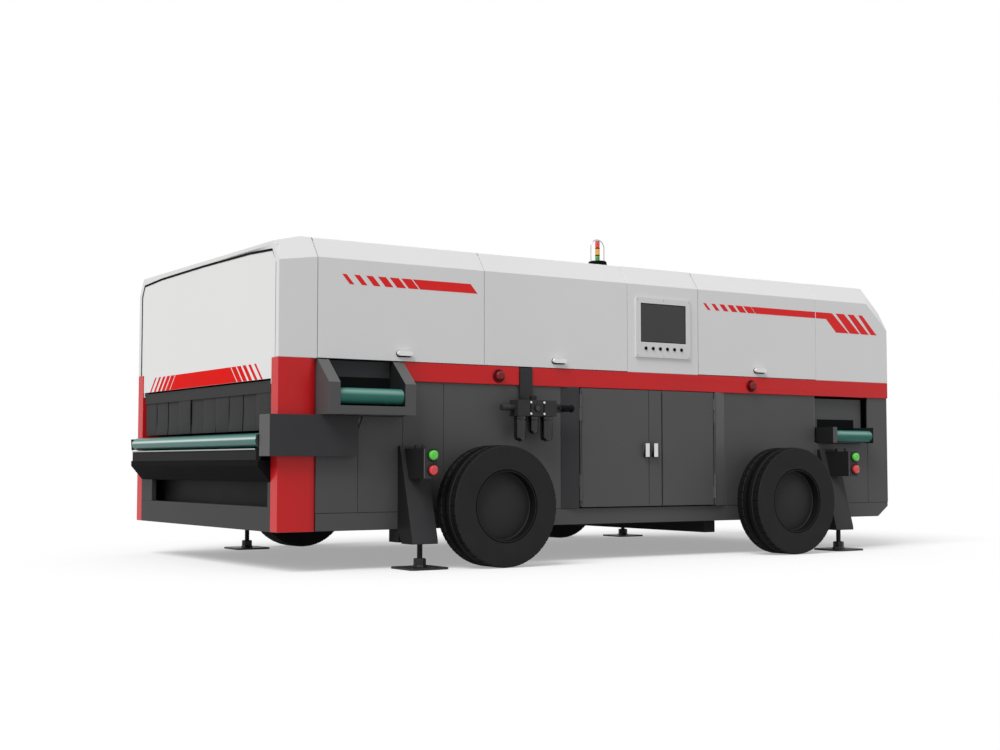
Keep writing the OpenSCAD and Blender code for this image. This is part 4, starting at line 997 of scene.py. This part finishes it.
def camera():
    """Camera at the photograph's place, low in front of the infeed corner and tilted up a little."""
    data = bpy.data.cameras.new("camera")
    obj = bpy.data.objects.new("camera", data)
    bpy.context.scene.collection.objects.link(obj)
    image_widths = 1.466
    data.sensor_width = 36.0
    data.lens = image_widths * data.sensor_width
    data.clip_end = 300.0
    heading, tilt = math.radians(33.4), math.radians(3.51)
    forward = Vector((math.sin(heading) * math.cos(tilt), math.cos(heading) * math.cos(tilt), math.sin(tilt)))
    obj.location = (-5.730, -8.400, 0.586)
    obj.rotation_mode = "QUATERNION"
    obj.rotation_quaternion = forward.to_track_quat("-Z", "Y")
    bpy.context.scene.camera = obj


def white_to_camera(tree, output, shade, white):
    """Shows one shader to rays from the camera and to mirror and glass rays, and another to the rest."""
    make, link = tree.nodes.new, tree.links.new
    path = make("ShaderNodeLightPath")
    seen = path.outputs["Is Camera Ray"]
    for kind in ("Is Glossy Ray", "Is Transmission Ray"):
        either = make("ShaderNodeMath")
        either.operation = "MAXIMUM"
        link(seen, either.inputs[0])
        link(path.outputs[kind], either.inputs[1])
        seen = either.outputs["Value"]
    mix = make("ShaderNodeMixShader")
    link(seen, mix.inputs["Fac"])
    link(shade, mix.inputs[1])
    link(white, mix.inputs[2])
    link(mix.outputs["Shader"], output)


def world():
    """Even studio surroundings, white where the camera sees them."""
    scene_world = bpy.data.worlds.new("studio")
    scene_world.use_nodes = True
    bpy.context.scene.world = scene_world
    tree = scene_world.node_tree
    base = tree.nodes["Background"]
    base.inputs["Color"].default_value = (1, 1, 1, 1)
    base.inputs["Strength"].default_value = 0.5
    white = tree.nodes.new("ShaderNodeBackground")
    white.inputs["Color"].default_value = (1, 1, 1, 1)
    white.inputs["Strength"].default_value = 1.0
    white_to_camera(tree, tree.nodes["World Output"].inputs["Surface"], base.outputs["Background"],
                    white.outputs["Background"])


def lights():
    """One broad key light from the infeed end and above."""
    key = bpy.data.lights.new("key", "SUN")
    key.energy = 2.4
    key.angle = math.radians(35)
    obj = bpy.data.objects.new("key", key)
    bpy.context.scene.collection.objects.link(obj)
    towards = Vector((-0.70, -0.34, 0.95))
    obj.rotation_mode = "QUATERNION"
    obj.rotation_quaternion = towards.to_track_quat("Z", "Y")


def floor():
    """Pale floor that fades to white far from the machine and keeps the shadow under it."""
    mesh = bpy.data.meshes.new("floor")
    reach = 120.0
    mesh.from_pydata([(-reach, -reach, 0), (reach, -reach, 0), (reach, reach, 0), (-reach, reach, 0)], [],
                     [(0, 1, 2, 3)])
    obj = bpy.data.objects.new("floor", mesh)
    bpy.context.scene.collection.objects.link(obj)
    mat = bpy.data.materials.new("floor_pale")
    mat.use_nodes = True
    tree = mat.node_tree
    make, link = tree.nodes.new, tree.links.new
    matt = make("ShaderNodeBsdfDiffuse")
    matt.inputs["Color"].default_value = (0.5, 0.5, 0.5, 1)
    pale = make("ShaderNodeBsdfDiffuse")
    pale.inputs["Color"].default_value = (0.95, 0.95, 0.95, 1)
    white = make("ShaderNodeEmission")
    white.inputs["Strength"].default_value = 1.0
    coords = make("ShaderNodeTexCoord")
    distance = make("ShaderNodeVectorMath")
    distance.operation = "LENGTH"
    link(coords.outputs["Object"], distance.inputs[0])
    fade = make("ShaderNodeMapRange")
    fade.inputs["From Min"].default_value = 2.0
    fade.inputs["From Max"].default_value = 9.0
    fade.inputs["To Min"].default_value = 0.35
    link(distance.outputs["Value"], fade.inputs["Value"])
    mix = make("ShaderNodeMixShader")
    link(fade.outputs["Result"], mix.inputs["Fac"])
    link(pale.outputs["BSDF"], mix.inputs[1])
    link(white.outputs["Emission"], mix.inputs[2])
    white_to_camera(tree, tree.nodes["Material Output"].inputs["Surface"], matt.outputs["BSDF"],
                    mix.outputs["Shader"])
    mesh.materials.append(mat)


camera()
world()
lights()
floor()
bpy.context.scene.view_settings.view_transform = "Standard"
